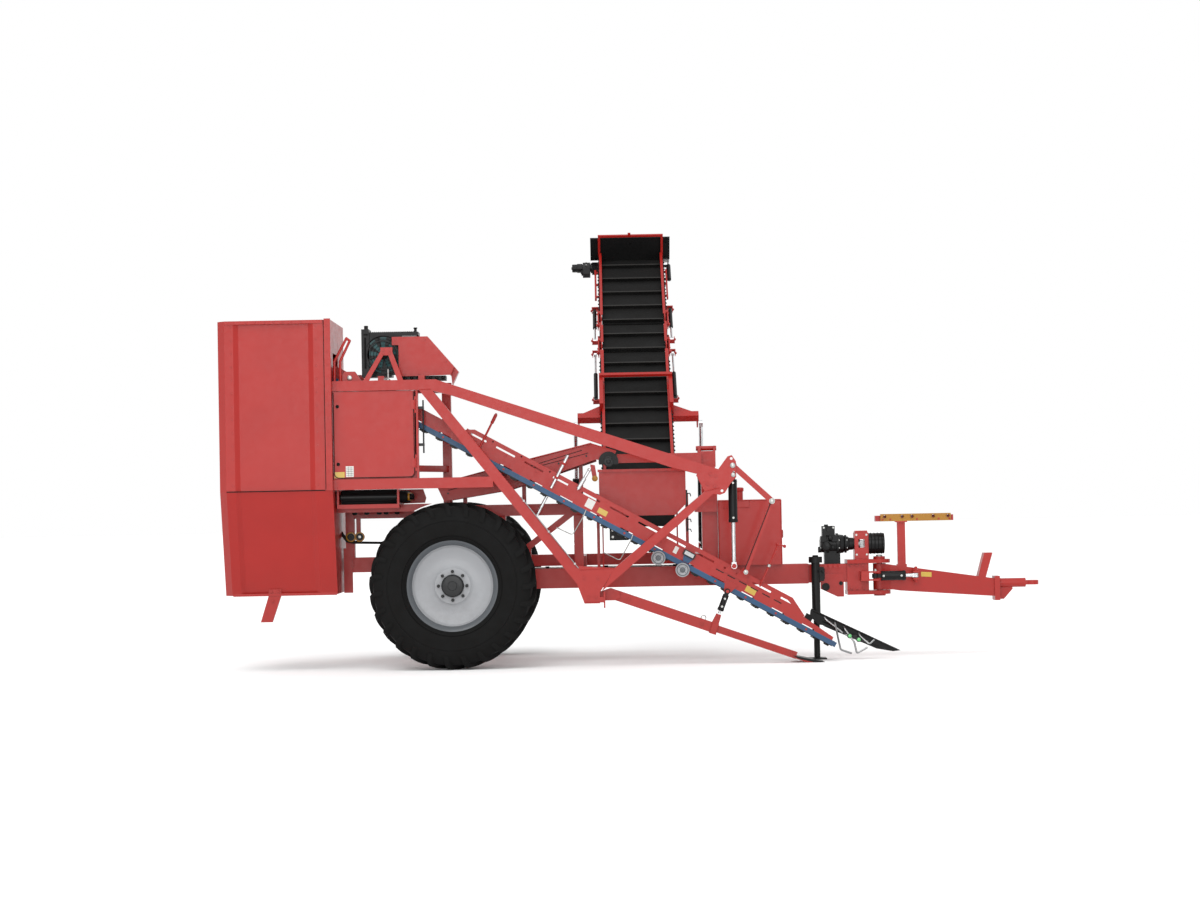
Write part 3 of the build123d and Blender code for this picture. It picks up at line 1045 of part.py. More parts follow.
def elevator():
    """Unloading elevator in three folding sections, with its belt, hood and motor."""
    square, top_end = (90, 40), ELEV_END + 110
    sections = {
        "elevator_low": elevator_section(-60, KNEE_1, (0, 0), square),
        "elevator_mid": elevator_section(KNEE_1, KNEE_2, square, square),
        "elevator_tip": elevator_section(KNEE_2, top_end, square, (0, 0), last_bar=310),
    }
    walls = {name: list(pair) for name, (pair, _) in sections.items()}
    for i, side in enumerate((-1, 1)):
        walls["elevator_low"][i] = outrigger(side, walls["elevator_low"][i])
        for name, plates in knee_plates(side).items():
            walls[name][i] = fused(walls[name][i], *plates)
        post = elevator_box(top_end - 24, top_end, 100, HOOD_N + 24, *wall_faces(side, -ELEV_WALL, 12))
        walls["elevator_tip"][i] = fused(walls["elevator_tip"][i], post)
    left, right = wall_faces(-1)[0], wall_faces(1)[0]
    hoop = elevator_box(HOOP_S, HOOP_S + 40, HOOP_N + 30, HOOP_N + 60, left - 30, right + 30)
    crown = elevator_box(top_end - 24, top_end, HOOD_N + 24, HOOD_N + 48, left - 12, right + 12)
    parts = elevator_belts()
    for name, (_, bars) in sections.items():
        parts[name] = [*walls[name], *bars]
    parts["elevator_low"].append(hoop)
    parts["elevator_tip"].append(crown)
    hood = elevator_box(top_end, top_end + 14, -60, HOOD_N, left, right)
    wings = [elevator_box(top_end, top_end + 14, 30, HOOD_N, *x)
             for x in ((left - 100, left), (right, right + 90))]
    parts["elevator_hood"] = [fused(hood, *wings)]
    gearbox = elevator_box(ELEV_END - 70, ELEV_END + 50, -46, 46, left - 84, left)
    motor = elevator_bar(ELEV_END, 0, left - 200, left - 84, 44)
    flange = elevator_bar(ELEV_END, 0, left - 100, left - 84, 58)
    parts["elevator_motor"] = [fused(gearbox, flange, motor)]
    return {name: items[0] if len(items) == 1 else Compound(children=items) for name, items in parts.items()}


def elevator_cylinders():
    """Three pairs of cylinders: under the elevator and beside both knees."""
    result = {}
    ends = {"base": (BASE_CYL_X, BASE_FOOT, on_elevator(BASE_EYE_S, BASE_EYE_N), (40, 22, 740, 16),
                     dict(base_r=34, eye_r=28, width=40, inside=360))}
    out = [wall_faces(side, KNEE_CYL_OUT, KNEE_CYL_OUT)[0] for side in (-1, 1)]
    for name, start, end, length, inside in (
            ("knee1", KNEE_1 - 700, KNEE_1 + 130, 460, 160), ("knee2", KNEE_2 + 450, KNEE_2 - 130, 340, 200)):
        ends[name] = (out, on_elevator(start, KNEE_CYL_N), on_elevator(end, KNEE_CYL_N), (22, 11, length, 10),
                      dict(base_r=20, eye_r=18, width=30, inside=inside))
    for name, (places, foot, eye, sizes, more) in ends.items():
        pairs = [cylinder((x, *foot), (x, *eye), (1, 0, 0), *sizes, **more) for x in places]
        result[name + "_barrels"] = Compound(children=[barrel for barrel, _ in pairs])
        result[name + "_rods"] = Compound(children=[rod for _, rod in pairs])
    return result


# ---------------------------------------------------------------- all the pieces
def build():
    nodes = {}
    for group in (
            wheels, chassis, side_frame, inner_frame, mast, chute, cooler, rollers, conveyor, hopper, tank,
            head, pump, drawbar, steering_cylinder, jack, door, lifter, lift_drive, share, elevator,
            elevator_cylinders):
        nodes.update(group())
    return nodes


def base_centre(nodes):
    """The bottom centre of the whole model's bounding box."""
    boxes = [shape.bounding_box() for shape in nodes.values()]
    low = [min(getattr(b.min, c) for b in boxes) for c in ("X", "Y", "Z")]
    high = [max(getattr(b.max, c) for b in boxes) for c in ("X", "Y", "Z")]
    return Vector((low[0] + high[0]) / 2, (low[1] + high[1]) / 2, low[2])


NODES = build()
ORIGIN = base_centre(NODES)
os.makedirs("parts", exist_ok=True)
for node_name, node_shape in NODES.items():
    export_step(Pos(-ORIGIN.X, -ORIGIN.Y, -ORIGIN.Z) * node_shape, f"parts/{node_name}.step")
print(len(NODES), "nodes; origin at", ORIGIN)
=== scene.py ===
"""Finish, fittings and stage for a trailed root crop harvester."""

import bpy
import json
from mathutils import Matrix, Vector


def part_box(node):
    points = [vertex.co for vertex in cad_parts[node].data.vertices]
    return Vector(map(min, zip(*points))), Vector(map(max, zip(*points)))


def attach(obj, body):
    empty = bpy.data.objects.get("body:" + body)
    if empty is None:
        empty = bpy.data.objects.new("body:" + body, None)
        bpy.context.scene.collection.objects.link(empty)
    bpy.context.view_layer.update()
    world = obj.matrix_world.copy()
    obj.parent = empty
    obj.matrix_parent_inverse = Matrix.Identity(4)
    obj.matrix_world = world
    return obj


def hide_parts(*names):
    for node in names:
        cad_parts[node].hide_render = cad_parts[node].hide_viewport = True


bl_info = {
    "name": "Root harvester finish",
    "version": (1, 0, 0),
    "blender": (4, 5, 0),
    "location": "View3D > Sidebar > Harvester",
    "description": "Paint, tyres, belts, fittings and stage for a trailed root crop harvester",
    "category": "Object",
}

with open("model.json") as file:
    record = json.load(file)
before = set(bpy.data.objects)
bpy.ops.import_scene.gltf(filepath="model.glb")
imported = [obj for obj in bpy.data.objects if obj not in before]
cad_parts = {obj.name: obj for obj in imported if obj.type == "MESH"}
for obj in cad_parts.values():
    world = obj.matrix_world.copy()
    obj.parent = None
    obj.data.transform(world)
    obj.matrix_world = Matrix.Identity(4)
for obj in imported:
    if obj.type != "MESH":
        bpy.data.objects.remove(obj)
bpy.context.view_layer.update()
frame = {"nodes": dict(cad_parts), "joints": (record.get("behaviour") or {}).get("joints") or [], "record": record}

import json
import math
import bmesh
import bpy
from bpy.props import FloatProperty, FloatVectorProperty, IntProperty, PointerProperty
from mathutils import Matrix, Vector

JOINTS = {j["name"]: j for j in frame["joints"]}
RIGHT_HUB = Vector(JOINTS["wheel_right_spin"]["pos_m"])
LEFT_HUB = Vector(JOINTS["wheel_left_spin"]["pos_m"])
# X = 0 is the axle, Y = 0 the middle between the wheels, Z = 0 the ground
HOME = Vector((RIGHT_HUB.x, (RIGHT_HUB.y + LEFT_HUB.y) / 2, 0.0))
MM = 0.001
AHEAD, ASTERN = Vector((1, 0, 0)), Vector((-1, 0, 0))
FAR, NEAR = Vector((0, 1, 0)), Vector((0, -1, 0))
UP, DOWN = Vector((0, 0, 1)), Vector((0, 0, -1))
# radius of the small flat that closes a turned end
POLE = 0.5


# ---------------------------------------------------------------- places
def at(x, y, z):
    """Point of the machine, in millimetres from the axle's middle on the ground, as metres of the frame."""
    return Vector((x, y, z)) * MM + HOME


def back(point):
    """Millimetres of the machine for a point of the frame."""
    return (Vector(point) - HOME) / MM


def corners(node):
    """Lowest and highest corner of a CAD node, in millimetres of the machine."""
    low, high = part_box(node)
    return back(low), back(high)


def pivot(name):
    return back(JOINTS[name]["pos_m"])


LIFT_PIVOT, TAIL, SHARE_ROOT = pivot("lifter_raise"), pivot("elevator_tilt"), pivot("share_raise")
LIFT_SLOPE, ELEV_SLOPE, SHARE_SLOPE = math.radians(-28.97), math.radians(38.94), math.radians(-19.6)


def sloped(s, n, slope):
    """Run and rise of a point s along a slope and n above it."""
    c, d = math.cos(slope), math.sin(slope)
    return s * c - n * d, s * d + n * c


def upright(x, z, y):
    return Vector((x, y, z))


def on_lifter(s, n, y):
    """Point s down the lifting unit's slope and n above it."""
    run, rise = sloped(s, n, LIFT_SLOPE)
    return Vector((LIFT_PIVOT.x + run, y, LIFT_PIVOT.z + rise))


def on_elevator(s, n, x):
    """Point s up the elevator's slope and n above it."""
    run, rise = sloped(s, n, ELEV_SLOPE)
    return Vector((x, TAIL.y + run, TAIL.z + rise))


def on_share(s, n, y):
    """Point s down the share beam's slope and n above it."""
    run, rise = sloped(s, n, SHARE_SLOPE)
    return Vector((SHARE_ROOT.x + run, y, SHARE_ROOT.z + rise))


DOWN_LIFTER = on_lifter(1, 0, 0) - on_lifter(0, 0, 0)
UP_ELEVATOR = on_elevator(1, 0, 0) - on_elevator(0, 0, 0)
OFF_ELEVATOR = on_elevator(0, 1, 0) - on_elevator(0, 0, 0)


def side_points(y, *spots):
    """Points (x, z) in the upright plane at y."""
    return [upright(x, z, y) for x, z in spots]


def circle(centre, radius, count, across=AHEAD, over=UP, start=0.0):
    """Points round a centre, the first one at the start angle from across."""
    turns = [start + 2 * math.pi * i / count for i in range(count)]
    return [Vector(centre) + across * (radius * math.cos(a)) + over * (radius * math.sin(a)) for a in turns]


# ---------------------------------------------------------------- shapes
def stepped(wide, shoulder, narrow, end):
    """Turned profile of a nut or union whose neck is narrow beyond its shoulder."""
    return [(0, wide), (shoulder, wide), (shoulder, narrow), (end, narrow)]


def capped(radius, shoulder, end, tip):
    """Turned profile of a pin's head, drawn in from its shoulder to the tip's radius and closed there."""
    return [(0, radius), (shoulder, radius), (end, tip), (end, POLE)]


# points along a rounded corner, and the share of its shorter side that it may take
CORNER_STEPS, CORNER_SHARE = 6, 0.45


def rounded(points, bend):
    """Path along points, with a curve from bend before each corner to bend after it."""
    points = [Vector(p) for p in points]
    path = [points[0]]
    for before, here, after in zip(points, points[1:], points[2:]):
        a, b = before - here, after - here
        cut = min(bend, CORNER_SHARE * a.length, CORNER_SHARE * b.length)
        a, b = here + a.normalized() * cut, here + b.normalized() * cut
        shares = [i / CORNER_STEPS for i in range(CORNER_STEPS + 1)] if cut else [0.0]
        path += [a * (1 - t) ** 2 + here * 2 * t * (1 - t) + b * t * t for t in shares]
    return path + [points[-1]]


class Form:
    """A mesh under construction, in millimetres of the machine."""

    def __init__(self):
        self.bm = bmesh.new()

    def solid(self, loops, close=False):
        """Skins rings of points and caps the ends, or joins the last ring to the first."""
        rings = [[self.bm.verts.new(p) for p in loop] for loop in loops]
        count = len(rings[0])
        for a, b in list(zip(rings, rings[1:])) + ([(rings[-1], rings[0])] if close else []):
            for i in range(count):
                j = (i + 1) % count
                self.bm.faces.new((a[i], a[j], b[j], b[i]))
        if not close:
            self.bm.faces.new(rings[0])
            self.bm.faces.new(list(reversed(rings[-1])))
        return self

    def block(self, x0, x1, y0, y1, z0, z1):
        square = [(x0, y0), (x1, y0), (x1, y1), (x0, y1)]
        return self.solid([[(x, y, z) for x, y in square] for z in (z0, z1)])

    def plate(self, points, start, end, place=upright):
        """Plate with an outline in the plane that place gives, from start to end across it."""
        return self.solid([[place(a, b, depth) for a, b in points] for depth in (start, end)])

    def slab(self, a0, a1, b0, b1, start, end, place):
        return self.plate([(a0, b0), (a1, b0), (a1, b1), (a0, b1)], start, end, place)

    def turned(self, profile, base, axis, sides=40, close=False):
        """Turns (distance along the axis, radius) points about a line; close joins the last to the first."""
        turn = Vector(axis).to_track_quat("Z", "Y")
        across, over, along = turn @ AHEAD, turn @ FAR, turn @ UP
        base = Vector(base)
        return self.solid([circle(base + along * reach, radius, sides, across, over)
                           for reach, radius in profile], close)

    def bar(self, start, end, radius, sides=16):
        start, end = Vector(start), Vector(end)
        return self.turned([(0, radius), ((end - start).length, radius)], start, end - start, sides)

    def pipe(self, points, radius, sides=12, bend=0.0):
        """Round bar along points, its corners rounded to the bend radius."""
        path = rounded(points, bend)
        loops = []
        side = None
        for i, point in enumerate(path):
            ahead = (path[min(i + 1, len(path) - 1)] - path[max(i - 1, 0)]).normalized()
            side = side or ahead.orthogonal().normalized()
            side = (side - ahead * side.dot(ahead)).normalized()
            loops.append(circle(point, radius, sides, side, ahead.cross(side)))
        return self.solid(loops)

    def mesh(self, name):
        bmesh.ops.remove_doubles(self.bm, verts=self.bm.verts, dist=0.001)
        bmesh.ops.recalc_face_normals(self.bm, faces=self.bm.faces)
        for vert in self.bm.verts:
            vert.co = at(*vert.co)
        mesh = bpy.data.meshes.new(name)
        self.bm.to_mesh(mesh)
        self.bm.free()
        return mesh


def piece(name, form, finish, body="chassis", bevel=0.0, slot=None, crease=38):
    """Makes an object of a form, rounds its edges by bevel millimetres and lets it ride on its body."""
    mesh = form.mesh(name) if isinstance(form, Form) else form
    obj = bpy.data.objects.new(name, mesh)
    bpy.context.scene.collection.objects.link(obj)
    mesh.materials.clear()
    mesh.materials.append(FINISHES[finish])
    for polygon in mesh.polygons:
        polygon.use_smooth = True
    mesh.set_sharp_from_angle(angle=math.radians(crease))
    if bevel:
        edge = obj.modifiers.new("edge", "BEVEL")
        edge.width = bevel * MM
        edge.segments = 2
        edge.limit_method = "ANGLE"
        edge.angle_limit = math.radians(crease)
        edge.harden_normals = True
    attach(obj, body)
    return obj


# ---------------------------------------------------------------- repeats
def feed(tree, socket, value):
    """Sets a socket, or links it to the socket or the node's first output that feeds it."""
    if isinstance(value, bpy.types.Node):
        value = value.outputs[0]
    if isinstance(value, bpy.types.NodeSocket):
        tree.links.new(value, socket)
    else:
        socket.default_value = value


def add(tree, kind, values=None, **settings):
    """Adds a node with its settings, its sockets fed from values."""
    made = tree.nodes.new(kind)
    for key, value in settings.items():
        setattr(made, key, value)
    for key, value in (values or {}).items():
        feed(tree, made.inputs[key], value)
    return made


def repeat_tree(name, *sockets):
    """Geometry tree with named inputs, the shape to repeat first; returned with its inputs and its end."""
    tree = bpy.data.node_groups.new(name, "GeometryNodeTree")
    for label, kind in (("Shape", "Geometry"), *sockets, ("Finish", "Material")):
        tree.interface.new_socket(label, in_out="INPUT", socket_type="NodeSocket" + kind)
    tree.interface.new_socket("Shape", in_out="OUTPUT", socket_type="NodeSocketGeometry")
    return tree, tree.nodes.new("NodeGroupInput").outputs, tree.nodes.new("NodeGroupOutput")


def end_tree(tree, given, out, copies):
    real = add(tree, "GeometryNodeRealizeInstances", {0: copies})
    painted = add(tree, "GeometryNodeSetMaterial", {"Geometry": real, "Material": given["Finish"]})
    feed(tree, out.inputs[0], painted)
    return tree


def row_tree():
    """Repeats a shape along a straight step."""
    tree, given, out = repeat_tree("Row", ("Count", "Int"), ("Step", "Vector"))
    line = add(tree, "GeometryNodeMeshLine", {"Count": given["Count"], "Start Location": (0, 0, 0),
                                              "Offset": given["Step"]})
    copies = add(tree, "GeometryNodeInstanceOnPoints", {"Points": line, "Instance": given["Shape"]})
    return end_tree(tree, given, out, copies)


def ring_tree():
    """Repeats a shape round a line through a centre."""
    tree, given, out = repeat_tree("Ring", ("Count", "Int"), ("Centre", "Vector"), ("Axis", "Vector"))
    line = add(tree, "GeometryNodeMeshLine", {"Count": given["Count"], "Start Location": (0, 0, 0),
                                              "Offset": (0, 0, 0)})
    index = add(tree, "GeometryNodeInputIndex")
    share = add(tree, "ShaderNodeMath", {0: index, 1: given["Count"]}, operation="DIVIDE")
    angle = add(tree, "ShaderNodeMath", {0: share, 1: 2 * math.pi}, operation="MULTIPLY")
    turn = add(tree, "FunctionNodeAxisAngleToRotation", {"Axis": given["Axis"], "Angle": angle})
    away = add(tree, "ShaderNodeVectorMath", {0: given["Centre"], "Scale": -1.0}, operation="SCALE")
    moved = add(tree, "GeometryNodeTransform", {"Geometry": given["Shape"], "Translation": away})
    copies = add(tree, "GeometryNodeInstanceOnPoints", {"Points": line, "Instance": moved, "Rotation": turn})
    home = add(tree, "GeometryNodeTranslateInstances", {"Instances": copies, "Translation": given["Centre"],
                                                        "Local Space": False})
    return end_tree(tree, given, out, home)


def bolt_tree():
    """Hexagon heads with washers on points, each looking along its point's facing, at its point's size."""
    tree, given, out = repeat_tree("Bolts")
    head = add(tree, "GeometryNodeMeshCylinder", {"Vertices": 6, "Radius": 1.0, "Depth": 0.8})
    washer = add(tree, "GeometryNodeMeshCylinder", {"Vertices": 20, "Radius": 1.35, "Depth": 0.24})
    both = add(tree, "GeometryNodeJoinGeometry")
    for shape, lift in ((head, 0.52), (washer, 0.10)):
        feed(tree, both.inputs[0], add(tree, "GeometryNodeTransform", {"Geometry": shape,
                                                                       "Translation": (0, 0, lift)}))
    facing = add(tree, "GeometryNodeInputNamedAttribute", {"Name": "facing"}, data_type="FLOAT_VECTOR")
    size = add(tree, "GeometryNodeInputNamedAttribute", {"Name": "size"}, data_type="FLOAT")
    look = add(tree, "FunctionNodeAlignRotationToVector", {"Vector": facing}, axis="Z")
    copies = add(tree, "GeometryNodeInstanceOnPoints", {"Points": given["Shape"], "Instance": both,
                                                        "Rotation": look, "Scale": size})
    return end_tree(tree, given, out, copies)


MAKERS = {"Row": row_tree, "Ring": ring_tree, "Bolts": bolt_tree}
TREES = {}


def repeated(name, shape, tree_name, values, finish, body="chassis", slot=None):
    """Runs a repeat tree on a shape and keeps the result as one plain mesh on a body."""
    if tree_name not in TREES:
        TREES[tree_name] = MAKERS[tree_name]()
    tree = TREES[tree_name]
    mesh = shape.mesh(name) if isinstance(shape, Form) else shape
    source = bpy.data.objects.new(name + "_source", mesh)
    bpy.context.scene.collection.objects.link(source)
    run = source.modifiers.new("repeat", "NODES")
    run.node_group = tree
    for item in tree.interface.items_tree:
        if item.in_out == "INPUT" and item.socket_type != "NodeSocketGeometry":
            run[item.identifier] = FINISHES[finish] if item.name == "Finish" else values[item.name]
    bpy.context.view_layer.update()
    graph = bpy.context.evaluated_depsgraph_get()
    made = bpy.data.meshes.new_from_object(source.evaluated_get(graph))
    source.modifiers.remove(run)
    bpy.data.objects.remove(source)
    if not made.polygons:
        raise RuntimeError(f"{name} came out empty")
    made.name = name
    return piece(name, made, finish, body, slot=slot)


def row_of(name, shape, count, step, finish, *where):
    """Copies of a shape along a step in millimetres."""
    repeated(name, shape, "Row", {"Count": count, "Step": step * MM}, finish, *where)


def ring_of(name, shape, count, centre, axis, finish, *where):
    """Copies of a shape round a line through a centre in millimetres."""
    repeated(name, shape, "Ring", {"Count": count, "Centre": at(*centre), "Axis": axis}, finish, *where)


def bolts(name, finish, *rows, body="chassis"):
    """Bolt heads; each row holds their half width in mm, the way they face and their places."""
    heads = [(place, facing, radius) for radius, facing, places in rows for place in places]
    mesh = bpy.data.meshes.new(name)
    mesh.from_pydata([at(*place) for place, _, _ in heads], [], [])
    mesh.attributes.new("facing", "FLOAT_VECTOR", "POINT")
    mesh.attributes.new("size", "FLOAT", "POINT")
    facing, size = mesh.attributes["facing"], mesh.attributes["size"]
    for i, (_, look, radius) in enumerate(heads):
        facing.data[i].vector = look
        size.data[i].value = radius * MM
    return repeated(name, mesh, "Bolts", {}, finish, body)


# ---------------------------------------------------------------- finishes
def linear(code):
    """Linear colour of an sRGB hex value."""
    parts = [int(code[i:i + 2], 16) / 255 for i in (1, 3, 5)]
    return [c / 12.92 if c <= 0.04045 else ((c + 0.055) / 1.055) ** 2.4 for c in parts] + [1.0]


# where nearly all of a noise's values lie; a wave's fill the node's own span of 0 to 1
NOISE_SPAN = {"From Min": 0.35, "From Max": 0.65}
WAVE_SPAN = {}


class Coat:
    """A material under construction: one shader, and patterns laid out in the piece's own coordinates."""

    def __init__(self, name, **values):
        self.material = bpy.data.materials.new(name)
        self.material.use_nodes = True
        self.tree = self.material.node_tree
        self.shader = self.tree.nodes["Principled BSDF"]
        self.place = self.add("TexCoord").outputs["Object"]
        self.set(**values)

    def add(self, kind, values=None, **settings):
        return add(self.tree, "ShaderNode" + kind, values, **settings)

    def set(self, **values):
        """Sets the shader's sockets, or links them to what feeds them."""
        for key, value in values.items():
            feed(self.tree, self.shader.inputs[key.replace("_", " ")], value)

    def crossed(self, first, second, distortion=0.0):
        """Two crossing sets of bands, each given as its axis and its scale."""
        bands = [self.add("TexWave", {"Vector": self.place, "Scale": scale, "Distortion": distortion},
                          bands_direction=axis).outputs[1] for axis, scale in (first, second)]
        return self.add("Math", dict(enumerate(bands)), operation="MULTIPLY")

    def tinted(self, pattern, most, first, second, span=NOISE_SPAN):
        """First colour, with up to the share most of the second where the pattern is high."""
        share = self.add("MapRange", {"Value": pattern, "To Max": most, **span})
        # sockets 6 and 7 are the mix node's colour inputs, and output 2 is its colour
        return self.add("Mix", {"Factor": share, 6: linear(first), 7: linear(second)},
                        data_type="RGBA").outputs[2]

    def finish(self, tint, pattern, smooth, rough, relief=None, strength=0.0, depth=0.0, span=NOISE_SPAN):
        """Feeds the shader its colour, a roughness that follows a pattern, and a relief depth metres deep."""
        gloss = self.add("MapRange", {"Value": pattern, "To Min": smooth, "To Max": rough, **span})
        self.set(Base_Color=tint, Roughness=gloss)
        if relief:
            self.set(Normal=self.add("Bump", {"Height": relief, "Strength": strength, "Distance": depth}))
        return self.material


def enamel(name, colour, deep, roughness=0.36, dust="#4A423A", shine=0.3):
    """Two-pack machine enamel sprayed on welded steel: satin, with orange peel and a little dust low down."""
    coat = Coat(name, IOR=1.5, Specular_IOR_Level=shine, Coat_Weight=0.15, Coat_Roughness=0.12)
    cloud = coat.add("TexNoise", {"Vector": coat.place, "Scale": 1 / 0.35, "Detail": 3.0})
    patch = coat.add("TexNoise", {"Vector": coat.place, "Scale": 1 / 0.06, "Detail": 5.0, "Roughness": 0.65})
    # real orange peel is 1 to 2 mm wide; drawn at 7 mm so that it shows
    peel = coat.add("TexNoise", {"Vector": coat.place, "Scale": 1 / 0.007, "Detail": 2.0})
    # field dust settles below the axle and fades out upwards
    height = coat.add("SeparateXYZ", {0: coat.place}).outputs["Z"]
    low = coat.add("MapRange", {"Value": height, "From Min": 0.05, "From Max": 1.1, "To Min": 0.22,
                                "To Max": 0.0})
    speckle = coat.add("MapRange", {"Value": patch, "To Min": 0.15, "To Max": 1.0, **NOISE_SPAN})
    dusty = coat.add("Math", {0: low, 1: speckle}, operation="MULTIPLY")
    clean = coat.tinted(cloud, 0.45, colour, deep)
    tint = coat.add("Mix", {"Factor": dusty, 6: clean, 7: linear(dust)}, data_type="RGBA").outputs[2]
    return coat.finish(tint, patch, roughness - 0.05, roughness + 0.10, peel, 0.10, 0.0006)


def rubber(name, colour, dusty, roughness=0.82, relief=0.012):
    """Moulded carbon-black rubber: matt, faintly dusty on its high spots."""
    coat = Coat(name, IOR=1.52, Specular_IOR_Level=0.15)
    cloud = coat.add("TexNoise", {"Vector": coat.place, "Scale": 1 / 0.12, "Detail": 5.0, "Roughness": 0.6})
    pores = coat.add("TexNoise", {"Vector": coat.place, "Scale": 1 / relief, "Detail": 3.0})
    tint = coat.tinted(cloud, 0.5, colour, dusty)
    return coat.finish(tint, cloud, roughness - 0.06, roughness + 0.08, pores, 0.18, 0.001)


def belt(name):
    """Rubber conveyor belt with the fabric's impression pressed into its cover."""
    coat = Coat(name, IOR=1.52, Specular_IOR_Level=0.15)
    cloud = coat.add("TexNoise", {"Vector": coat.place, "Scale": 1 / 0.2, "Detail": 4.0})
    # 3 mm weave impression, drawn at 9 mm so that it shows
    weave = coat.crossed(("X", 35.0), ("Y", 35.0), 0.4)
    return coat.finish(coat.tinted(cloud, 0.6, "#0A0A0A", "#121110"), cloud, 0.55, 0.75, weave, 0.25, 0.0008)


def metal(name, colour, roughness, scratch=0.02, strength=0.05):
    """Bare or plated steel: metallic, with fine scratches that break up its reflection."""
    coat = Coat(name, Metallic=1.0)
    stretched = coat.add("Mapping", {"Vector": coat.place, "Scale": (1.0, 6.0, 1.0)})
    marks = coat.add("TexNoise", {"Vector": stretched, "Scale": 1 / scratch, "Detail": 4.0, "Roughness": 0.6})
    tint = coat.tinted(marks, 0.35, colour, "#5D5C58")
    return coat.finish(tint, marks, roughness, roughness + 0.15, marks, strength, 0.0004)


def vinyl(name, colour):
    """Printed vinyl label left blank: smooth plastic film, a little uneven in its gloss."""
    coat = Coat(name, IOR=1.46, Coat_Weight=0.4, Coat_Roughness=0.1)
    marks = coat.add("TexNoise", {"Vector": coat.place, "Scale": 1 / 0.01, "Detail": 3.0})
    return coat.finish(coat.tinted(marks, 0.12, colour, "#77736B"), marks, 0.28, 0.40)


def cooler_core(name):
    """Brazed aluminium core painted black-green: close fins, with painted shade darkening the gaps between them.
    """
    coat = Coat(name, IOR=1.5, Metallic=0.35)
    fins = coat.crossed(("Z", 18.0), ("X", 9.0))
    # dark between the crossed bands: painted shade in the gaps between the fins
    tint = coat.tinted(fins, 1.0, "#0D1314", "#33474A", WAVE_SPAN)
    return coat.finish(tint, fins, 0.45, 0.65, fins, 0.5, 0.004, WAVE_SPAN)


def lamp_glass(name, colour, glow):
    """Ribbed polycarbonate lens, faintly lit."""
    coat = Coat(name, IOR=1.58, Coat_Weight=0.6, Emission_Strength=glow)
    ribs = coat.add("TexWave", {"Vector": coat.place, "Scale": 60.0}, bands_direction="Z").outputs[1]
    tint = coat.tinted(ribs, 1.0, colour, "#6DBF78", WAVE_SPAN)
    coat.set(Emission_Color=tint)
    return coat.finish(tint, ribs, 0.12, 0.25, ribs, 0.3, 0.001, WAVE_SPAN)


def studio_floor(name):
    """Pale studio paper, white to the eye, that still takes the machine's shadow."""
    coat = Coat(name, Roughness=0.95, Specular_IOR_Level=0.1)
    fibre = coat.add("TexNoise", {"Vector": coat.place, "Scale": 1 / 0.4, "Detail": 3.0})
    coat.set(Base_Color=coat.tinted(fibre, 0.3, "#F6F6F6", "#F1F1F1"))
    return coat.material


FINISHES = {}


def make_finishes(paint):
    def code(values):
        return "#" + "".join(f"{round(255 * c):02X}" for c in values)

    FINISHES.update(
        red=enamel("red machine enamel", code(paint.red), code(paint.red_deep)),
        blue=enamel("blue machine enamel", "#174468", "#12385A"),
        black=enamel("black machine enamel", "#0A0A0B", "#060606", 0.45, "#1C1A18", 0.15),
        yellow=enamel("yellow machine enamel", "#99690E", "#8A5C0A", 0.40),
        silver=enamel("silver wheel enamel", "#929497", "#88898C", 0.34),
        lip=enamel("grey rim enamel", "#54585C", "#4C5054", 0.40),
        hub=enamel("dark grey hub enamel", "#222324", "#1C1C1D", 0.42, "#2A2622", 0.2),
        tyre=rubber("tyre rubber", "#0B0B0B", "#121110"),
        black_rubber=rubber("moulded black rubber", "#090909", "#0F0E0E", 0.7, 0.006),
        # paler rubber for the flights' top edges: painted highlight where those edges catch the light
        worn_rubber=rubber("rubber edge lightened for painted highlight", "#282726", "#343230", 0.6, 0.006),
        belt=belt("fabric-cored conveyor belt"),
        chrome=metal("hard chrome plate", "#D3D5D7", 0.16, 0.05, 0.004),
        zinc=metal("zinc-plated steel", "#B4B5B2", 0.30),
        steel=metal("turned steel", "#9A9B9C", 0.26, 0.012),
        white_vinyl=vinyl("blank white vinyl", "#C4C3BE"),
        yellow_vinyl=vinyl("blank yellow vinyl", "#B5941C"),
        core=cooler_core("cooler core fins"),
        teal=enamel("teal fan plastic", "#1F4A4C", "#183A3C", 0.5, "#2A2622"),
        green_glass=lamp_glass("green lamp lens", "#1C8A38", 0.15),
        floor=studio_floor("studio paper"),
    )


SLOT_FINISH = {"red_paint": "red", "blue_paint": "blue", "black_paint": "black", "yellow_paint": "yellow",
               "rim_paint": "silver", "rod_chrome": "chrome", "disc_steel": "steel", "tyre_rubber": "tyre",
               "belt_rubber": "belt"}
RUBBER_NODES = ("lifter_belts", "elevator_hood", "hopper_boot")


class HarvesterPaint(bpy.types.PropertyGroup):
    """Colours of the machine."""
    red: FloatVectorProperty(name="Red", description="Enamel of the frame and sheets", subtype="COLOR_GAMMA",
                             size=3, min=0, max=1, default=(0.600, 0.100, 0.078))
    red_deep: FloatVectorProperty(name="Deep red", description="Thin places in the enamel",
                                  subtype="COLOR_GAMMA", size=3, min=0, max=1, default=(0.560, 0.082, 0.063))


class HarvesterSizes(bpy.types.PropertyGroup):
    """Sizes of the fitted pieces."""
    lug_count: IntProperty(name="Lugs", description="Lugs on each shoulder of a tyre", default=27, min=12,
                           max=40)
    lug_width: FloatProperty(name="Lug width", description="Width of a lug across its top", default=0.044,
                             unit="LENGTH", min=0.02, max=0.08)
    nut_count: IntProperty(name="Wheel nuts", description="Nuts round each hub", default=8, min=4, max=12)
    nut_ring: FloatProperty(name="Nut ring", description="Radius of the ring of wheel nuts", default=0.141,
                            unit="LENGTH", min=0.08, max=0.3)
    roller_step: FloatProperty(name="Roller spacing", description="From one roller of the lifter to the next",
                               default=0.170, unit="LENGTH", min=0.08, max=0.5)


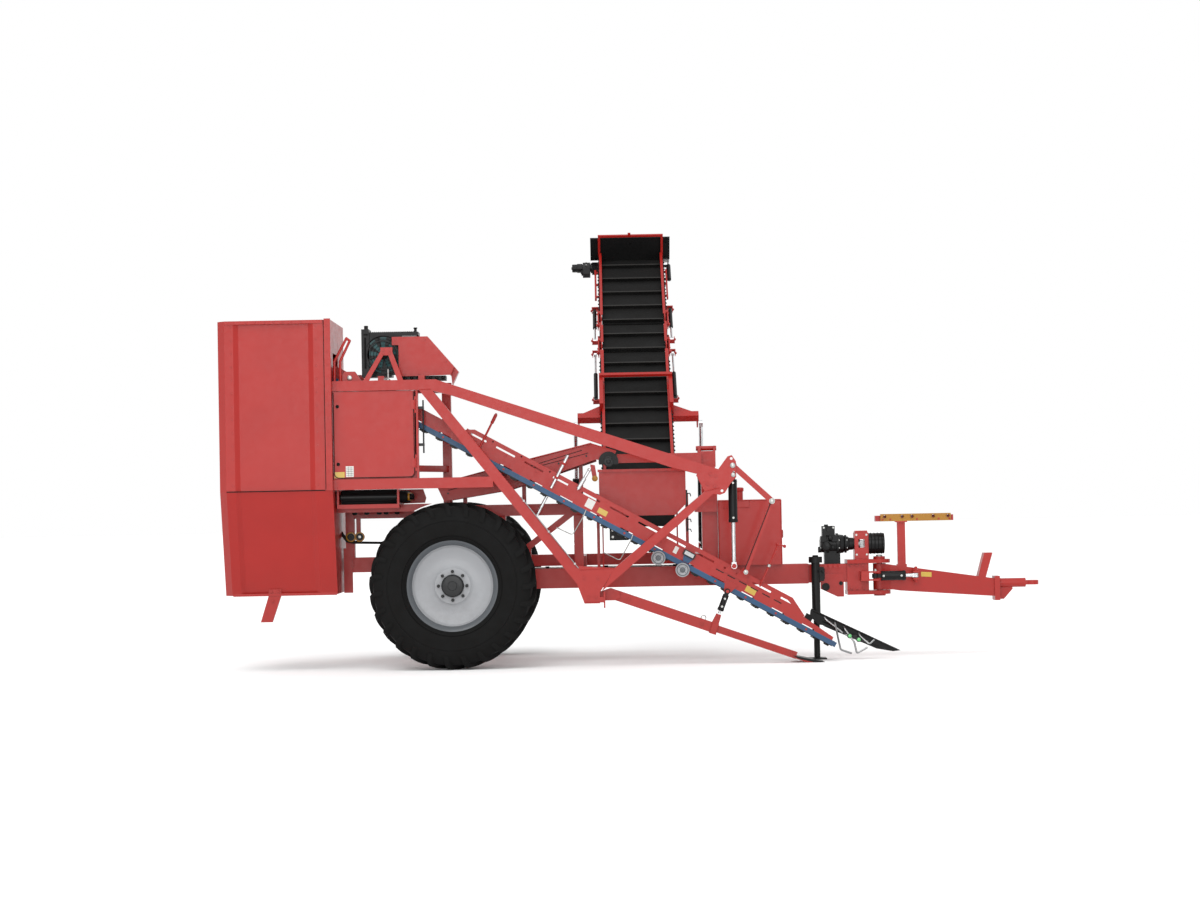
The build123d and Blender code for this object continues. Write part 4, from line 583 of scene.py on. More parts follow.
def settings(context):
    return context.scene.harvester_paint, context.scene.harvester_sizes


class HARVESTER_OT_coat(bpy.types.Operator):
    """Gives every CAD node its finish"""
    bl_idname = "harvester.coat"
    bl_label = "Coat the machine"

    def execute(self, context):
        make_finishes(settings(context)[0])
        slots = {part["node"]: part["material_slot"] for part in frame["record"]["subparts"]}
        for name, obj in frame["nodes"].items():
            finish = FINISHES["black_rubber" if name in RUBBER_NODES else SLOT_FINISH[slots[name]]]
            for slot in obj.material_slots:
                slot.material = finish
            if not obj.material_slots:
                obj.data.materials.append(finish)
        return {"FINISHED"}


# ---------------------------------------------------------------- wheels
TYRE_HALF = 230.0
WHEELS = (("wheel_right", back(RIGHT_HUB), -1), ("wheel_left", back(LEFT_HUB), 1))
# distance in from the tyre's widest point and radius, from the bead to the tread
TYRE_SECTION = ((62, 450), (40, 462), (20, 476), (14, 486), (18, 494), (8, 500), (2, 540), (0, 590), (1, 632),
                (5, 636), (5, 642), (2, 646), (6, 690), (22, 738), (50, 772), (100, 786), (170, 790))
# the same for the rim's lip, its dish and its hub, in from the rim's edge
RIM_HALF = TYRE_HALF - 60
LIP_OUTER = ((20, 448), (2, 469), (-8, 466), (-8, 461), (4, 452), (10, 440), (44, 408), (62, 402), (66, 396))
LIP_INNER = ((10, 404), (0, 424), (-4, 462), (6, 469), (20, 448))
DISH = ((62, 401), (60, 398), (66, 392), (84, 384), (92, 370), (90, 210), (84, 190), (72, 176), (70, 60),
        (84, 60), (84, 170), (104, 190), (106, 380), (96, 400), (74, 410))
CAP = ((2 * RIM_HALF - 40, 60), (2 * RIM_HALF - 40, 95), (70, 95), (70, 112), (62, 113), (30, 108), (18, 98),
       (14, 70), (14, 46), (8, 42), (8, POLE))
# distance out from the tread's middle, radius of the crown, radius of the foot, turn in degrees
LUG_STATIONS = ((-8, 823, 772, 0), (60, 825, 772, 3.2), (120, 824, 765, 6.6), (170, 818, 752, 9.4),
                (200, 800, 735, 10.8), (222, 762, 705, 11.8), (229, 715, 690, 12.4))
# radius at which a lug's width is measured
LUG_RADIUS = 800


class HARVESTER_OT_tyres(bpy.types.Operator):
    """Builds both tyres with their lugs and moulded side walls"""
    bl_idname = "harvester.tyres"
    bl_label = "Tyres"

    def execute(self, context):
        sizes = settings(context)[1]
        half = [(TYRE_HALF - inset, radius) for inset, radius in TYRE_SECTION]
        profile = half + [(-y, radius) for y, radius in reversed(half)]
        for body, hub, side in WHEELS:
            form = Form().turned(profile, hub, FAR, 96, True)
            tyre = piece(f"tyre_{body}", form, "tyre", body, slot="tyre_rubber", crease=30)
            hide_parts("tyre_right" if side < 0 else "tyre_left")
            for sign, offset, label in ((-1, 0.0, "a"), (1, 0.5, "b")):
                lug = self.lug(hub, sign, side, sizes.lug_width / MM, offset * 360 / sizes.lug_count)
                ring_of(f"lugs_{body}_{label}", lug, sizes.lug_count, hub, FAR, "tyre", body, "tyre_rubber")
        return {"FINISHED"}

    def lug(self, hub, sign, side, width, offset):
        """One lug, swept from the tread's middle over the shoulder, set back towards its outer end."""
        loops = []
        for y, top, foot, turn in LUG_STATIONS:
            ring = []
            for share, radius in ((-0.62, foot), (0.62, foot), (0.46, top - 6), (0.36, top), (-0.36, top),
                                  (-0.46, top - 6)):
                a = math.radians(turn + offset) * -side + share * width / LUG_RADIUS
                ring.append(hub + Vector((radius * math.sin(a), sign * y, radius * math.cos(a))))
            loops.append(ring)
        return Form().solid(loops)


class HARVESTER_OT_rims(bpy.types.Operator):
    """Builds both rims with disc, hub cap and nuts"""
    bl_idname = "harvester.rims"
    bl_label = "Rims"

    def execute(self, context):
        sizes = settings(context)[1]
        lip = [(inset - RIM_HALF, radius) for inset, radius in LIP_INNER]
        lip += [(RIM_HALF - inset, radius) for inset, radius in LIP_OUTER]
        dish, cap = ([(RIM_HALF - inset, radius) for inset, radius in outline] for outline in (DISH, CAP))
        for body, hub, side in WHEELS:
            axis = FAR * side
            look = {"body": body, "slot": "rim_paint"}
            rim = piece(f"rim_{body}", Form().turned(lip, hub, axis, 96, True), "lip", **look)
            disc = piece(f"disc_{body}", Form().turned(dish, hub, axis, 96, True), "silver", **look)
            piece(f"hub_{body}", Form().turned(cap, hub, axis, 48), "hub", **look)
            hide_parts("rim_right" if side < 0 else "rim_left")
            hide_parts("rim_right" if side < 0 else "rim_left")
            seat = hub + axis * (RIM_HALF - 70) + UP * (sizes.nut_ring / MM)
            nut = Form().turned([(0, 17), (20, 17), (24, 13), (24, 9), (40, 9)], seat, axis, 6)
            ring_of(f"nuts_{body}", nut, sizes.nut_count, hub, FAR, "hub", body)
        return {"FINISHED"}


# ---------------------------------------------------------------- rear chute and door
class HARVESTER_OT_chute_trim(bpy.types.Operator):
    """Rivets, seam strips, hem and strut bolts of the rear chute"""
    bl_idname = "harvester.chute_trim"
    bl_label = "Chute trim"

    def execute(self, context):
        low, high = corners("rear_chute")
        front = low.y + 16
        heights = [1850 + 130 * i for i in range(13)]
        columns = [(x, y, z) for x, y in ((-2134, front), (-1298, front), (-1188, low.y)) for z in heights]
        columns += [(-1980 + 90 * i, low.y + 8, high.z - 28) for i in range(7)]
        bolts("chute_rivets", "red", (6.5, NEAR, columns))
        seams = Form().block(-2196, -1226, front - 3, front + 2, 1786, 1796)
        seams.block(-1222, -1214, front - 6, front + 2, 1800, high.z - 14)
        piece("chute_seams", seams, "black_rubber")
        piece("chute_hem", Form().block(-2190, -1160, -1066, -1056, 752, 778), "red", bevel=2.0)
        bolts("strut_bolts", "red", (11, NEAR, side_points(-1064, (-1810, 796), (-1742, 796), (-1800, 700))))
        return {"FINISHED"}


DOOR_FACE = -1290.0


class HARVESTER_OT_door_trim(bpy.types.Operator):
    """Latches, hinge leaves, black seal line and blank labels of the side door, with the sill and brace behind it;
    the seal's black also paints the shadow in the gap round the door
    """
    bl_idname = "harvester.door_trim"
    bl_label = "Door trim"

    def execute(self, context):
        self.leaf(DOOR_FACE)
        self.surround()
        # black rubber seal line standing out from the door's face; its black also paints the shadow in the gap
        # round the door
        seal = side_points(DOOR_FACE - 3, (-1140, 2750), (-1140, 1908), (-350, 1908), (-350, 2750))
        piece("door_seal_shadow_line", Form().pipe(seal, 4, 8, 55), "black_rubber", "side_door")
        return {"FINISHED"}

    def leaf(self, face):
        latches = Form()
        for z in (2613, 2044):
            latches.turned(capped(17, 5, 8, 13), (-1101, face, z), NEAR, 24)
            latches.block(-1106, -1096, face - 16, face - 7, z - 15, z + 15)
        piece("door_latches", latches, "black_rubber", "side_door", bevel=1.5)
        leaves = Form()
        screws = []
        for z in (2610, 2038):
            leaves.block(-372, -350, face - 4, face, z - 22, z + 22)
            screws += side_points(face - 4, (-361, z - 12), (-361, z + 12))
        piece("hinge_leaves", leaves, "zinc", "side_door", bevel=1.0)
        bolts("hinge_screws", "hub", (6, NEAR, screws), body="side_door")
        label = Form().block(-1140, -1040, face - 0.8, face, 1908, 1968)
        piece("door_label", label, "yellow_vinyl", "side_door")
        grid = Form().block(-1028, -950, face - 0.8, face, 1918, 2024)
        piece("door_grid", grid, "white_vinyl", "side_door")
        lines = Form()
        for i in range(1, 6):
            z = 1918 + 106 * i / 6
            lines.block(-1024, -954, face - 1.4, face - 0.7, z - 1.6, z + 1.6)
        for x in (-1002, -976):
            lines.block(x - 1.2, x + 1.2, face - 1.4, face - 0.7, 1922, 2020)
        piece("door_grid_lines", lines, "black", "side_door")

    def surround(self):
        piece("door_jamb", Form().block(-356, -316, -1232, -1226, 1900, 2750), "black_rubber")
        piece("door_sill", Form().block(-1150, -318, -1252, -1246, 1880, 1960), "red", bevel=1.0)
        ends = [side_points(y, (x0, 1957), (x1, 1957), (x1, 2021), (x0, 2021))
                for y, x0, x1 in ((-545, -96, -56), (-1236, -350, -312))]
        piece("door_brace", Form().solid(ends), "red", bevel=2.0)


# ---------------------------------------------------------------- oil cooler
FRAME_FACE = -1300
FAN = Vector((-652.0, -1092.0, 3126.0))
CORE_LEFT, CORE_RIGHT, CORE_FOOT = -786, -582, 2926


class HARVESTER_OT_cooler(bpy.types.Operator):
    """Fan, wire guard and cooling fins of the oil cooler"""
    bl_idname = "harvester.cooler"
    bl_label = "Oil cooler"

    def execute(self, context):
        shroud = Form().turned([(0, 196), (34, 196), (34, 190), (6, 188)], FAN, NEAR, 56, True)
        piece("fan_shroud", shroud.block(CORE_RIGHT, -470, -1078, -1062, CORE_FOOT, 3319), "black")
        pan = Form().block(-480, -40, -1085, -900, 2866, 2912)
        for i in range(7):
            pan.turned([(0, 16), (26, 16), (30, 10)], (-440 + 62 * i, -1085, 2890), NEAR, 14)
        piece("cooler_pan", pan, "black", bevel=3.0)
        self.fan()
        self.guard()
        self.fins()
        self.fixings()
        return {"FINISHED"}

    def fan(self):
        # radius, lean and width of the blade at its root, middle and tip
        stations = ((40, 14, 24), (104, 11, 46), (178, 7, 62))
        section = ((-0.5, -1), (0.5, -1), (0.5, 1), (-0.5, 1))
        blade = Form().solid([[FAN + Vector((u * wide, -8 + w * 3 + u * lean, radius)) for u, w in section]
                              for radius, lean, wide in stations])
        ring_of("fan_blades", blade, 9, FAN, FAR, "teal")
        hub = Form().turned([(0, 48), (24, 46), (32, 32), (34, POLE)], FAN, NEAR, 28)
        piece("fan_hub", hub, "black_rubber")

    def guard(self):
        wires = Form()
        middle = FAN + NEAR * 30
        for radius in (70, 100, 130, 160, 188):
            ring = circle(middle, radius, 40)
            wires.pipe(ring + ring[:1], 2.2, 5)
        for tip in circle(middle, 190, 8, start=0.3)[:4]:
            wires.pipe([2 * middle - tip, tip], 2.6, 5)
        piece("fan_guard", wires, "black")

    def fins(self):
        """Fins beside the fan; each stops short of the shroud."""
        fins = Form()
        for i in range(34):
            z = CORE_FOOT + 11.4 * i
            away = abs(z - FAN.z)
            end = CORE_RIGHT if away > 196 else FAN.x - math.sqrt(200 ** 2 - away ** 2)
            if end > CORE_LEFT + 2:
                fins.block(CORE_LEFT, end, -1093, -1088, z, z + 3)
        piece("core_fins", fins, "core")

    def fixings(self):
        caps = Form()
        for x, z in ((-832, 3420), (-340, 3394)):
            caps.turned([(0, 16), (4, 21), (8, 21), (12, 15), (12, POLE)], (x, -1000, z - 6), UP, 24)
        caps.bar((-832, -1124, 3300), (-832, -1124, 2990), 9)
        caps.bar((-846, -1126, 3330), (-806, -1126, 3330), 7)
        for i in range(24):
            x = CORE_LEFT + 19.6 * i
            caps.block(x, x + 6, -1078, -850, 3353, 3360)
        piece("cooler_caps", caps, "black_rubber")
        foot = Vector((-598, -1252, 2868))
        piece("stay_pin", Form().bar(foot, foot + UP * 107, 8).bar(foot, foot + UP * 10, 16, 6), "zinc")
        guard = side_points(-1150, (-530, 3276), (-240, 3270), (-30, 3050), (-440, 2930), (-300, 2930),
                            (-540, 3240))
        stand = side_points(FRAME_FACE, (-640, 3162), (-578, 3162), (-640, 3128), (-578, 3128))
        bolts("guard_bolts", "red", (8, NEAR, guard), (10, NEAR, stand))


# ---------------------------------------------------------------- frames
class HARVESTER_OT_frame_bolts(bpy.types.Operator):
    """Bolts and weld beads where the frames' beams and plates meet"""
    bl_idname = "harvester.frame_bolts"
    bl_label = "Frame bolts and welds"

    def execute(self, context):
        frame_heads = side_points(
            FRAME_FACE, (-1120, 2840), (-1120, 2790), (-1120, 1868), (-1120, 1816), (2530, 1780),
            (2600, 1760), (1340, 690), (1410, 690), (1300, 880), (1430, 880), (2560, 1880), (2610, 1858))
        beam_heads = side_points(-581, (-1052, 1040), (-1052, 1100), (-1052, 1160))
        beam_heads += side_points(-664, (3730, 930), (3780, 930), (3830, 930), (3880, 930))
        bolts("frame_bolts", "red", (12, NEAR, frame_heads), (13, NEAR, beam_heads))
        pins = Form()
        for x, y, z, r in ((2782, FRAME_FACE, 1960, 26), (2786, FRAME_FACE, 1867, 22),
                           (-982, -1222, 2897, 24)):
            pins.turned(capped(r, 8, 12, r - 6), (x, y, z), NEAR, 24)
        piece("pin_heads", pins, "zinc", bevel=0.8)
        self.welds()
        rod = Form().bar((690, -1308, 1690), (1245, -1308, 978), 5, 10)
        for x, z in ((720, 1652), (960, 1344), (1210, 1023)):
            rod.block(x - 9, x + 9, -1314, -1298, z - 9, z + 9)
        piece("brace_rod", rod, "steel")
        stub = Form().block(1440, 1496, FRAME_FACE, -1292, 636, 690).block(1488, 1503, -1304, -1286, 582, 744)
        piece("foot_stub", stub, "red", bevel=1.5)
        caps = Form().block(-1106, -1100, -545, -405, 962, 1102)
        caps.block(-1106, -1100, 505, 645, 962, 1072).block(2600, 2604, 505, 645, 962, 1072)
        piece("beam_caps", caps, "black_rubber", bevel=1.5)
        return {"FINISHED"}

    def welds(self):
        beads = Form()
        for y, *spots in (
                (FRAME_FACE, (-172, 2766), (-292, 2766)), (FRAME_FACE, (1262, 960), (1480, 968), (1600, 968)),
                (FRAME_FACE, (2506, 1711), (2650, 1742)), (FRAME_FACE, (1300, 640), (1450, 640)),
                (-555, (100, 957), (100, 757)), (-545, (3560, 950), (3560, 770)),
                (-552, (2500, 957), (2659, 957)), (-552, (2500, 1608), (2500, 1503)),
                (-551, (-1028, 1504), (-1028, 1562)),
                (-551, (1201, 1498), (1293, 1498)), (-551, (420, 1498), (510, 1498))):
            beads.pipe(side_points(y, *spots), 5, 6)
        piece("weld_beads", beads, "red")


class HARVESTER_OT_pipes(bpy.types.Operator):
    """Rigid hydraulic pipes clipped along the beams, with their clamps and unions"""
    bl_idname = "harvester.pipes"
    bl_label = "Hydraulic pipes"

    def execute(self, context):
        lines, clamps, unions = Form(), Form(), Form()
        side, top = -342.0, 965
        for lane in range(3):
            z, bend = 920 - 22 * lane, 200 + 30 * lane
            lines.pipe(side_points(side, (3500, z), (bend, z), (bend, 700)), 8, 10, 40)
            unions.bar((3500, side, z), (3534, side, z), 15, 6)
        for x in (420, 1060, 1760, 2420, 3120):
            clamps.block(x, x + 40, side - 10, side + 10, 862, 938)
        for lane in range(2):
            lines.pipe(side_points(-437 + 22 * lane, (3000, top), (2400, top), (700, top)), 8, 10)
        for x in (900, 1500, 2200, 2800):
            clamps.block(x, x + 40, -452, -398, 957, 977)
        unions.turned(stepped(12, 26, 9, 40), (230, side, 720), DOWN, 6)
        piece("pipes", lines, "zinc")
        piece("pipe_clamps", clamps, "black_rubber", bevel=2.0)
        piece("pipe_unions", unions, "steel")
        return {"FINISHED"}


# ---------------------------------------------------------------- lifting unit
LIFT_FACE, LIFT_BACK = -1060.0, -800.0
# line of the idlers' hubs, set forward of the unit's face
IDLER_LINE = LIFT_FACE - 30


class HARVESTER_OT_lifting_unit(bpy.types.Operator):
    """Roller arms, rail bolts, rods, sensor box, idlers and blank labels of the lifting unit"""
    bl_idname = "harvester.lifting_unit"
    bl_label = "Lifting unit"

    def execute(self, context):
        self.roller_arms(settings(context)[1].roller_step / MM)
        lower = [on_lifter(60 + 340 * i, -87, LIFT_FACE) for i in range(16)]
        upper = [on_lifter(700 + 340 * i, 44, LIFT_FACE) for i in range(13)]
        # the upper rail's row of ten places starts again for the last three
        rail = [on_lifter(1540 + 320 * (i % 10), 106, LIFT_FACE) for i in range(13)]
        bolts("rail_bolts", "red", (8, NEAR, lower + upper), (6, NEAR, rail), body="lifter")
        # slots punched through the beam near its front end are drawn as thin black plates on its face: painted
        # shade in place of the holes
        slots = Form()
        for i in range(6):
            s = 4090 + 130 * i
            slots.plate([(s, 30), (s + 84, 30), (s + 84, 20), (s, 20)], LIFT_FACE - 1.2, LIFT_FACE, on_lifter)
        piece("beam_slot_shade_plates", slots, "black", "lifter")
        for name, s, n, wide, high, finish in (
                ("label_white", 2640, -34, 84, 90, "white_vinyl"),
                ("label_yellow_a", 2780, -30, 100, 54, "yellow_vinyl"),
                ("label_yellow_b", 4440, -34, 110, 60, "yellow_vinyl"),
                ("label_white_b", 3630, -30, 40, 70, "white_vinyl")):
            label = Form().slab(s, s + wide, n, n + high, LIFT_FACE - 0.8, LIFT_FACE, on_lifter)
            piece(name, label, finish, "lifter")
        self.levers(LIFT_FACE - 16, LIFT_FACE - 14)
        self.leaf_wires()
        self.depth_spindle(LIFT_FACE - 22)
        ram = [(0, 10), (10, 10), (10, 21), (130, 21), (136, 14), (214, 14), (220, 19), (236, 19), (240, 10)]
        ram = Form().turned(ram, (1250, LIFT_FACE - 16, 1752), (0.526, 0, 0.851), 20)
        piece("tension_ram", ram, "chrome", "lifter")
        sleeve = Form().bar(on_lifter(4231, 134, LIFT_FACE - 12), on_lifter(4231, 134, LIFT_FACE - 100), 24)
        piece("pin_sleeve", sleeve, "red", "lifter")
        self.sensor()
        self.idlers()
        return {"FINISHED"}

    def roller_arms(self, step):
        """Sprung arms under the rollers, in pairs along the unit."""
        arm = Form()
        outline = [(0, -134), (46, -134), (60, -122), (60, -112), (-8, -112), (-8, -122)]
        for y0, y1, outer, facing in ((LIFT_FACE + 2, LIFT_FACE + 60, LIFT_FACE + 2, NEAR),
                                      (LIFT_BACK - 60, LIFT_BACK - 2, LIFT_BACK - 2, FAR)):
            arm.plate(outline, y0, y1, on_lifter)
            arm.turned(stepped(13, 8, 9, 16), on_lifter(24, -126, outer), facing, 12)
        length = (corners("lifter_rails")[1].x - LIFT_PIVOT.x) / math.cos(LIFT_SLOPE) - 60
        row_of("roller_arms", arm, int(length / step), DOWN_LIFTER * step, "black", "lifter")

    def levers(self, y, handle_y):
        rod = Form().bar((1160, y, 2094), (985, y, 1772), 15)
        piece("lever_rod", rod.bar((1000, y + 56, 1800), (839, y + 56, 1504), 15), "chrome", "lifter")
        clamp = Form()
        for x, z in ((1115, 2011), (1040, 1873)):
            clamp.turned([(-12, 21), (12, 21)], (x, y, z), (0.477, 0, 0.879), 20)
        clamp.block(950, 1000, y + 34, y + 78, 1700, 1790)
        piece("lever_clamps", clamp, "red", "lifter", bevel=2.0)
        handle = Form().bar((458, handle_y, 2524), (281, handle_y, 2185), 11)
        handle.turned([(0, 17), (90, 17), (100, 10)], (452, handle_y, 2512), (-0.46, 0, -0.89), 16)
        piece("red_handle", handle, "red", "lifter")

    def leaf_wires(self):
        wires = Form()
        for bent, end in ((((1032, 1380), (1190, 1302), (1308, 1495)), (1330, 1550)),
                          (((1489, 1127), (1654, 1040), (1765, 1233)), (1790, 1290))):
            wires.pipe(side_points(LIFT_FACE - 30, *bent) + side_points(LIFT_FACE + 4, end), 5, 8, 30)
        piece("leaf_wires", wires, "zinc", "lifter")

    def depth_spindle(self, y):
        lean, crank = (0.42, 0, 0.91), (0.94, 0, -0.33)
        spindle = Form().bar((3226, y, 1161), (3038, y, 754), 9)
        spindle.turned([(0, 14), (8, 20), (20, 20), (26, 12)], (3222, y, 1152), lean, 20)
        spindle.bar((3234, y, 1170), (3290, y, 1150), 8)
        spindle.turned([(0, 8), (6, 16), (22, 16), (28, 8)], (3280, y, 1154), crank, 16)
        spindle.turned([(0, 17), (16, 17)], (3060, y, 802), lean, 16)
        piece("depth_spindle", spindle, "red", "lifter")
        collar = Form().turned([(0, 18), (26, 18)], (3128, y, 949), lean, 20)
        piece("spindle_collar", collar, "zinc", "lifter", bevel=1.5)

    def sensor(self):
        box = Form().slab(3724, 3850, 0, 58, LIFT_FACE - 46, LIFT_FACE, on_lifter)
        piece("sensor_box", box, "hub", "lifter", bevel=4.0)
        face = Form().slab(3738, 3836, 10, 48, LIFT_FACE - 49, LIFT_FACE - 45, on_lifter)
        piece("sensor_face", face, "steel", "lifter", bevel=1.0)
        outline = [(3760, -58), (3820, -58), (3846, 2), (3740, 2)]
        plate = Form().plate(outline, LIFT_FACE - 12, LIFT_FACE, on_lifter)
        piece("sensor_plate", plate, "blue", "lifter", bevel=1.0)

    def idlers(self):
        for i, (s, n) in enumerate(((3532, -147), (3800, -139))):
            centre = on_lifter(s, n, IDLER_LINE)
            face = Form().turned([(0, 70), (4, 71), (10, 68), (10, 63), (9, 61), (9, POLE)], centre, NEAR, 40)
            piece(f"idler_face_{i}", face, "silver", "lifter")
            hub = Form().turned([(7, 60), (12, 60), (12, 50), (7, 50)], centre, NEAR, 36, True)
            hub.turned([(7, 28), (12, 28), (15, 22), (15, 13), (23, 12), (23, POLE)], centre, NEAR, 24)
            for place in circle(centre, 39, 4, start=math.pi / 4):
                hub.turned([(7, 5), (13, 5), (13, POLE)], place, NEAR, 6)
            piece(f"idler_hub_{i}", hub, "lip", "lifter")


DIVIDER_S, DIVIDER_FACE = 5494.0, -790.0


class HARVESTER_OT_divider(bpy.types.Operator):
    """Ribs, bolts, lamps, feeler rods and their clamps at the crop divider"""
    bl_idname = "harvester.divider"
    bl_label = "Crop divider"

    def execute(self, context):
        face = DIVIDER_FACE
        rib = Form()
        for ends in (((-330, 108), (600, 158)), ((-200, 60), (420, 100))):
            rib.pipe([on_lifter(DIVIDER_S + s, n, face - 8) for s, n in ends], 6, 8)
        piece("divider_ribs", rib, "black", "lifter")
        heads = [on_lifter(DIVIDER_S + s, n, face) for s, n in
                 ((-300, 90), (-220, 84), (-140, 80), (0, 78), (140, 82), (280, 90), (420, 104))]
        bolts("divider_bolts", "black", (9, NEAR, heads), body="lifter")
        self.feelers(face)
        housings, lenses = Form(), Form()
        for x, z in ((3944, 236), (4034, 198)):
            housings.turned(capped(26, 30, 34, 20), (x, face - 34, z), NEAR, 20)
            housings.bar((x, face - 34, z), (x, face + 2, z + 20), 8)
            lenses.turned([(0, 19), (5, 17), (8, 8), (8, POLE)], (x, face - 68, z), NEAR, 20)
        piece("lamp_housings", housings, "hub", "lifter", bevel=1.0)
        clamps = Form()
        for x, z, size in ((3896, 268, 22), (3990, 222, 26), (4078, 186, 24), (4120, 164, 18)):
            clamps.block(x - size, x + size, face - 46, face + 2, z - size * 0.7, z + size * 0.7)
            clamps.turned([(0, 11), (8, 10), (8, POLE)], (x, face - 46, z), NEAR, 12)
        piece("feeler_clamps", clamps, "hub", "lifter", bevel=2.0)
        piece("lamp_lenses", lenses, "green_glass", "lifter")
        return {"FINISHED"}

    def feelers(self, face):
        """Sprung rods ahead of the nose; each point holds x, its distance off the face, and z."""
        rods = Form()
        for radius, bend, points in (
                (10, 20, ((3890, 0, 330), (3900, 50, 300), (3990, 60, 170), (4010, 60, 60), (4120, 50, 118))),
                (10, 20, ((3800, 0, 375), (3806, 40, 340), (3850, 60, 100), (3960, 60, 60))),
                (9, 20, ((4040, 0, 262), (4050, 40, 230), (4140, 60, 150), (4190, 40, 190))),
                (11, 30, ((3700, 0, 425), (3712, 30, 400), (3900, 34, 250), (4130, 20, 170)))):
            rods.pipe([(x, face - off, z) for x, off, z in points], radius, 8, bend)
        piece("feeler_rods", rods, "steel", "lifter")


# ---------------------------------------------------------------- cylinders
LINK_KNEE = Vector((3164.0, -1279.0, 1602.0))
LINK_EYE = Vector((2894.0, -1239.0, 905.0))
STEER_FOOT, STEER_EYE = Vector((4235, -655, 825)), Vector((4645, -655, 825))


class HARVESTER_OT_link_pins(bpy.types.Operator):
    """Pins and seam of the two-bar link between the mast and the lifting unit"""
    bl_idname = "harvester.link_pins"
    bl_label = "Link pins"

    def execute(self, context):
        for body, place, radius in (("link_upper", LINK_KNEE, 24), ("link_lower", LINK_EYE, 18)):
            pin = [(0, radius + 5), (5, radius + 5), (5, radius), (13, radius), (16, radius - 4), (16, POLE)]
            piece(f"pin_{body}", Form().turned(pin, place, NEAR, 28), "zinc", body, bevel=0.8)
        seam = [LINK_KNEE + Vector((-14, 40, -24)), LINK_EYE + Vector((-12, -4, 24))]
        piece("link_seam", Form().pipe(seam, 4, 6), "black", "link_lower")
        return {"FINISHED"}


class HARVESTER_OT_cylinder_fittings(bpy.types.Operator):
    """Glands and ports of the hydraulic cylinders"""
    bl_idname = "harvester.cylinder_fittings"
    bl_label = "Cylinder fittings"

    def execute(self, context):
        middle = -1130.0
        # body, foot, eye, barrel's radius, barrel's length, side of the ports
        lift = Vector((2786, middle, 1867)), on_lifter(4231.4, 134.3, middle)
        depth = on_lifter(4289.9, -117.9, middle), on_share(1032.2, 121.3, middle)
        rows = [("lift_barrel", *lift, 44, 470, NEAR), ("depth_barrel", *depth, 30, 205, NEAR),
                ("steer_barrel", STEER_FOOT, STEER_EYE, 48, 304, NEAR)]
        rows += [("base_barrels", Vector((x, 575, 1145)), on_elevator(1100, -60, x), 40, 740, None)
                 for x in (1226, 2544)]
        for i, (body, foot, eye, barrel, length, side) in enumerate(rows):
            line = (eye - foot).normalized()
            side = side or line.orthogonal().normalized()
            inner = barrel - 4
            front = [(0, barrel + 3), (22, barrel + 3), (27, barrel + 1), (27, inner), (0, inner)]
            rear = [(0, barrel + 2), (14, barrel + 2), (14, inner), (0, inner)]
            gland = Form().turned(front, foot + line * (length - 30), line, 28, True)
            gland.turned(rear, foot + line * 60, line, 28, True)
            piece(f"gland_{i}", gland, "black", body, bevel=0.8)
            ports = Form()
            for reach in (78, length - 46):
                base = foot + line * reach + side * (barrel - 3)
                ports.turned(stepped(12, 14, 9, 26), base, side, 6)
            piece(f"ports_{i}", ports, "zinc", body)
        return {"FINISHED"}


# ---------------------------------------------------------------- cleaning rollers and conveyor
ROLLER_LANES, ROLLER_HEIGHT = (-1030, -860, -690), 1715
SHAFT_Y, SHAFT_Z = -860, 1582
PULLEY_Z = 1317


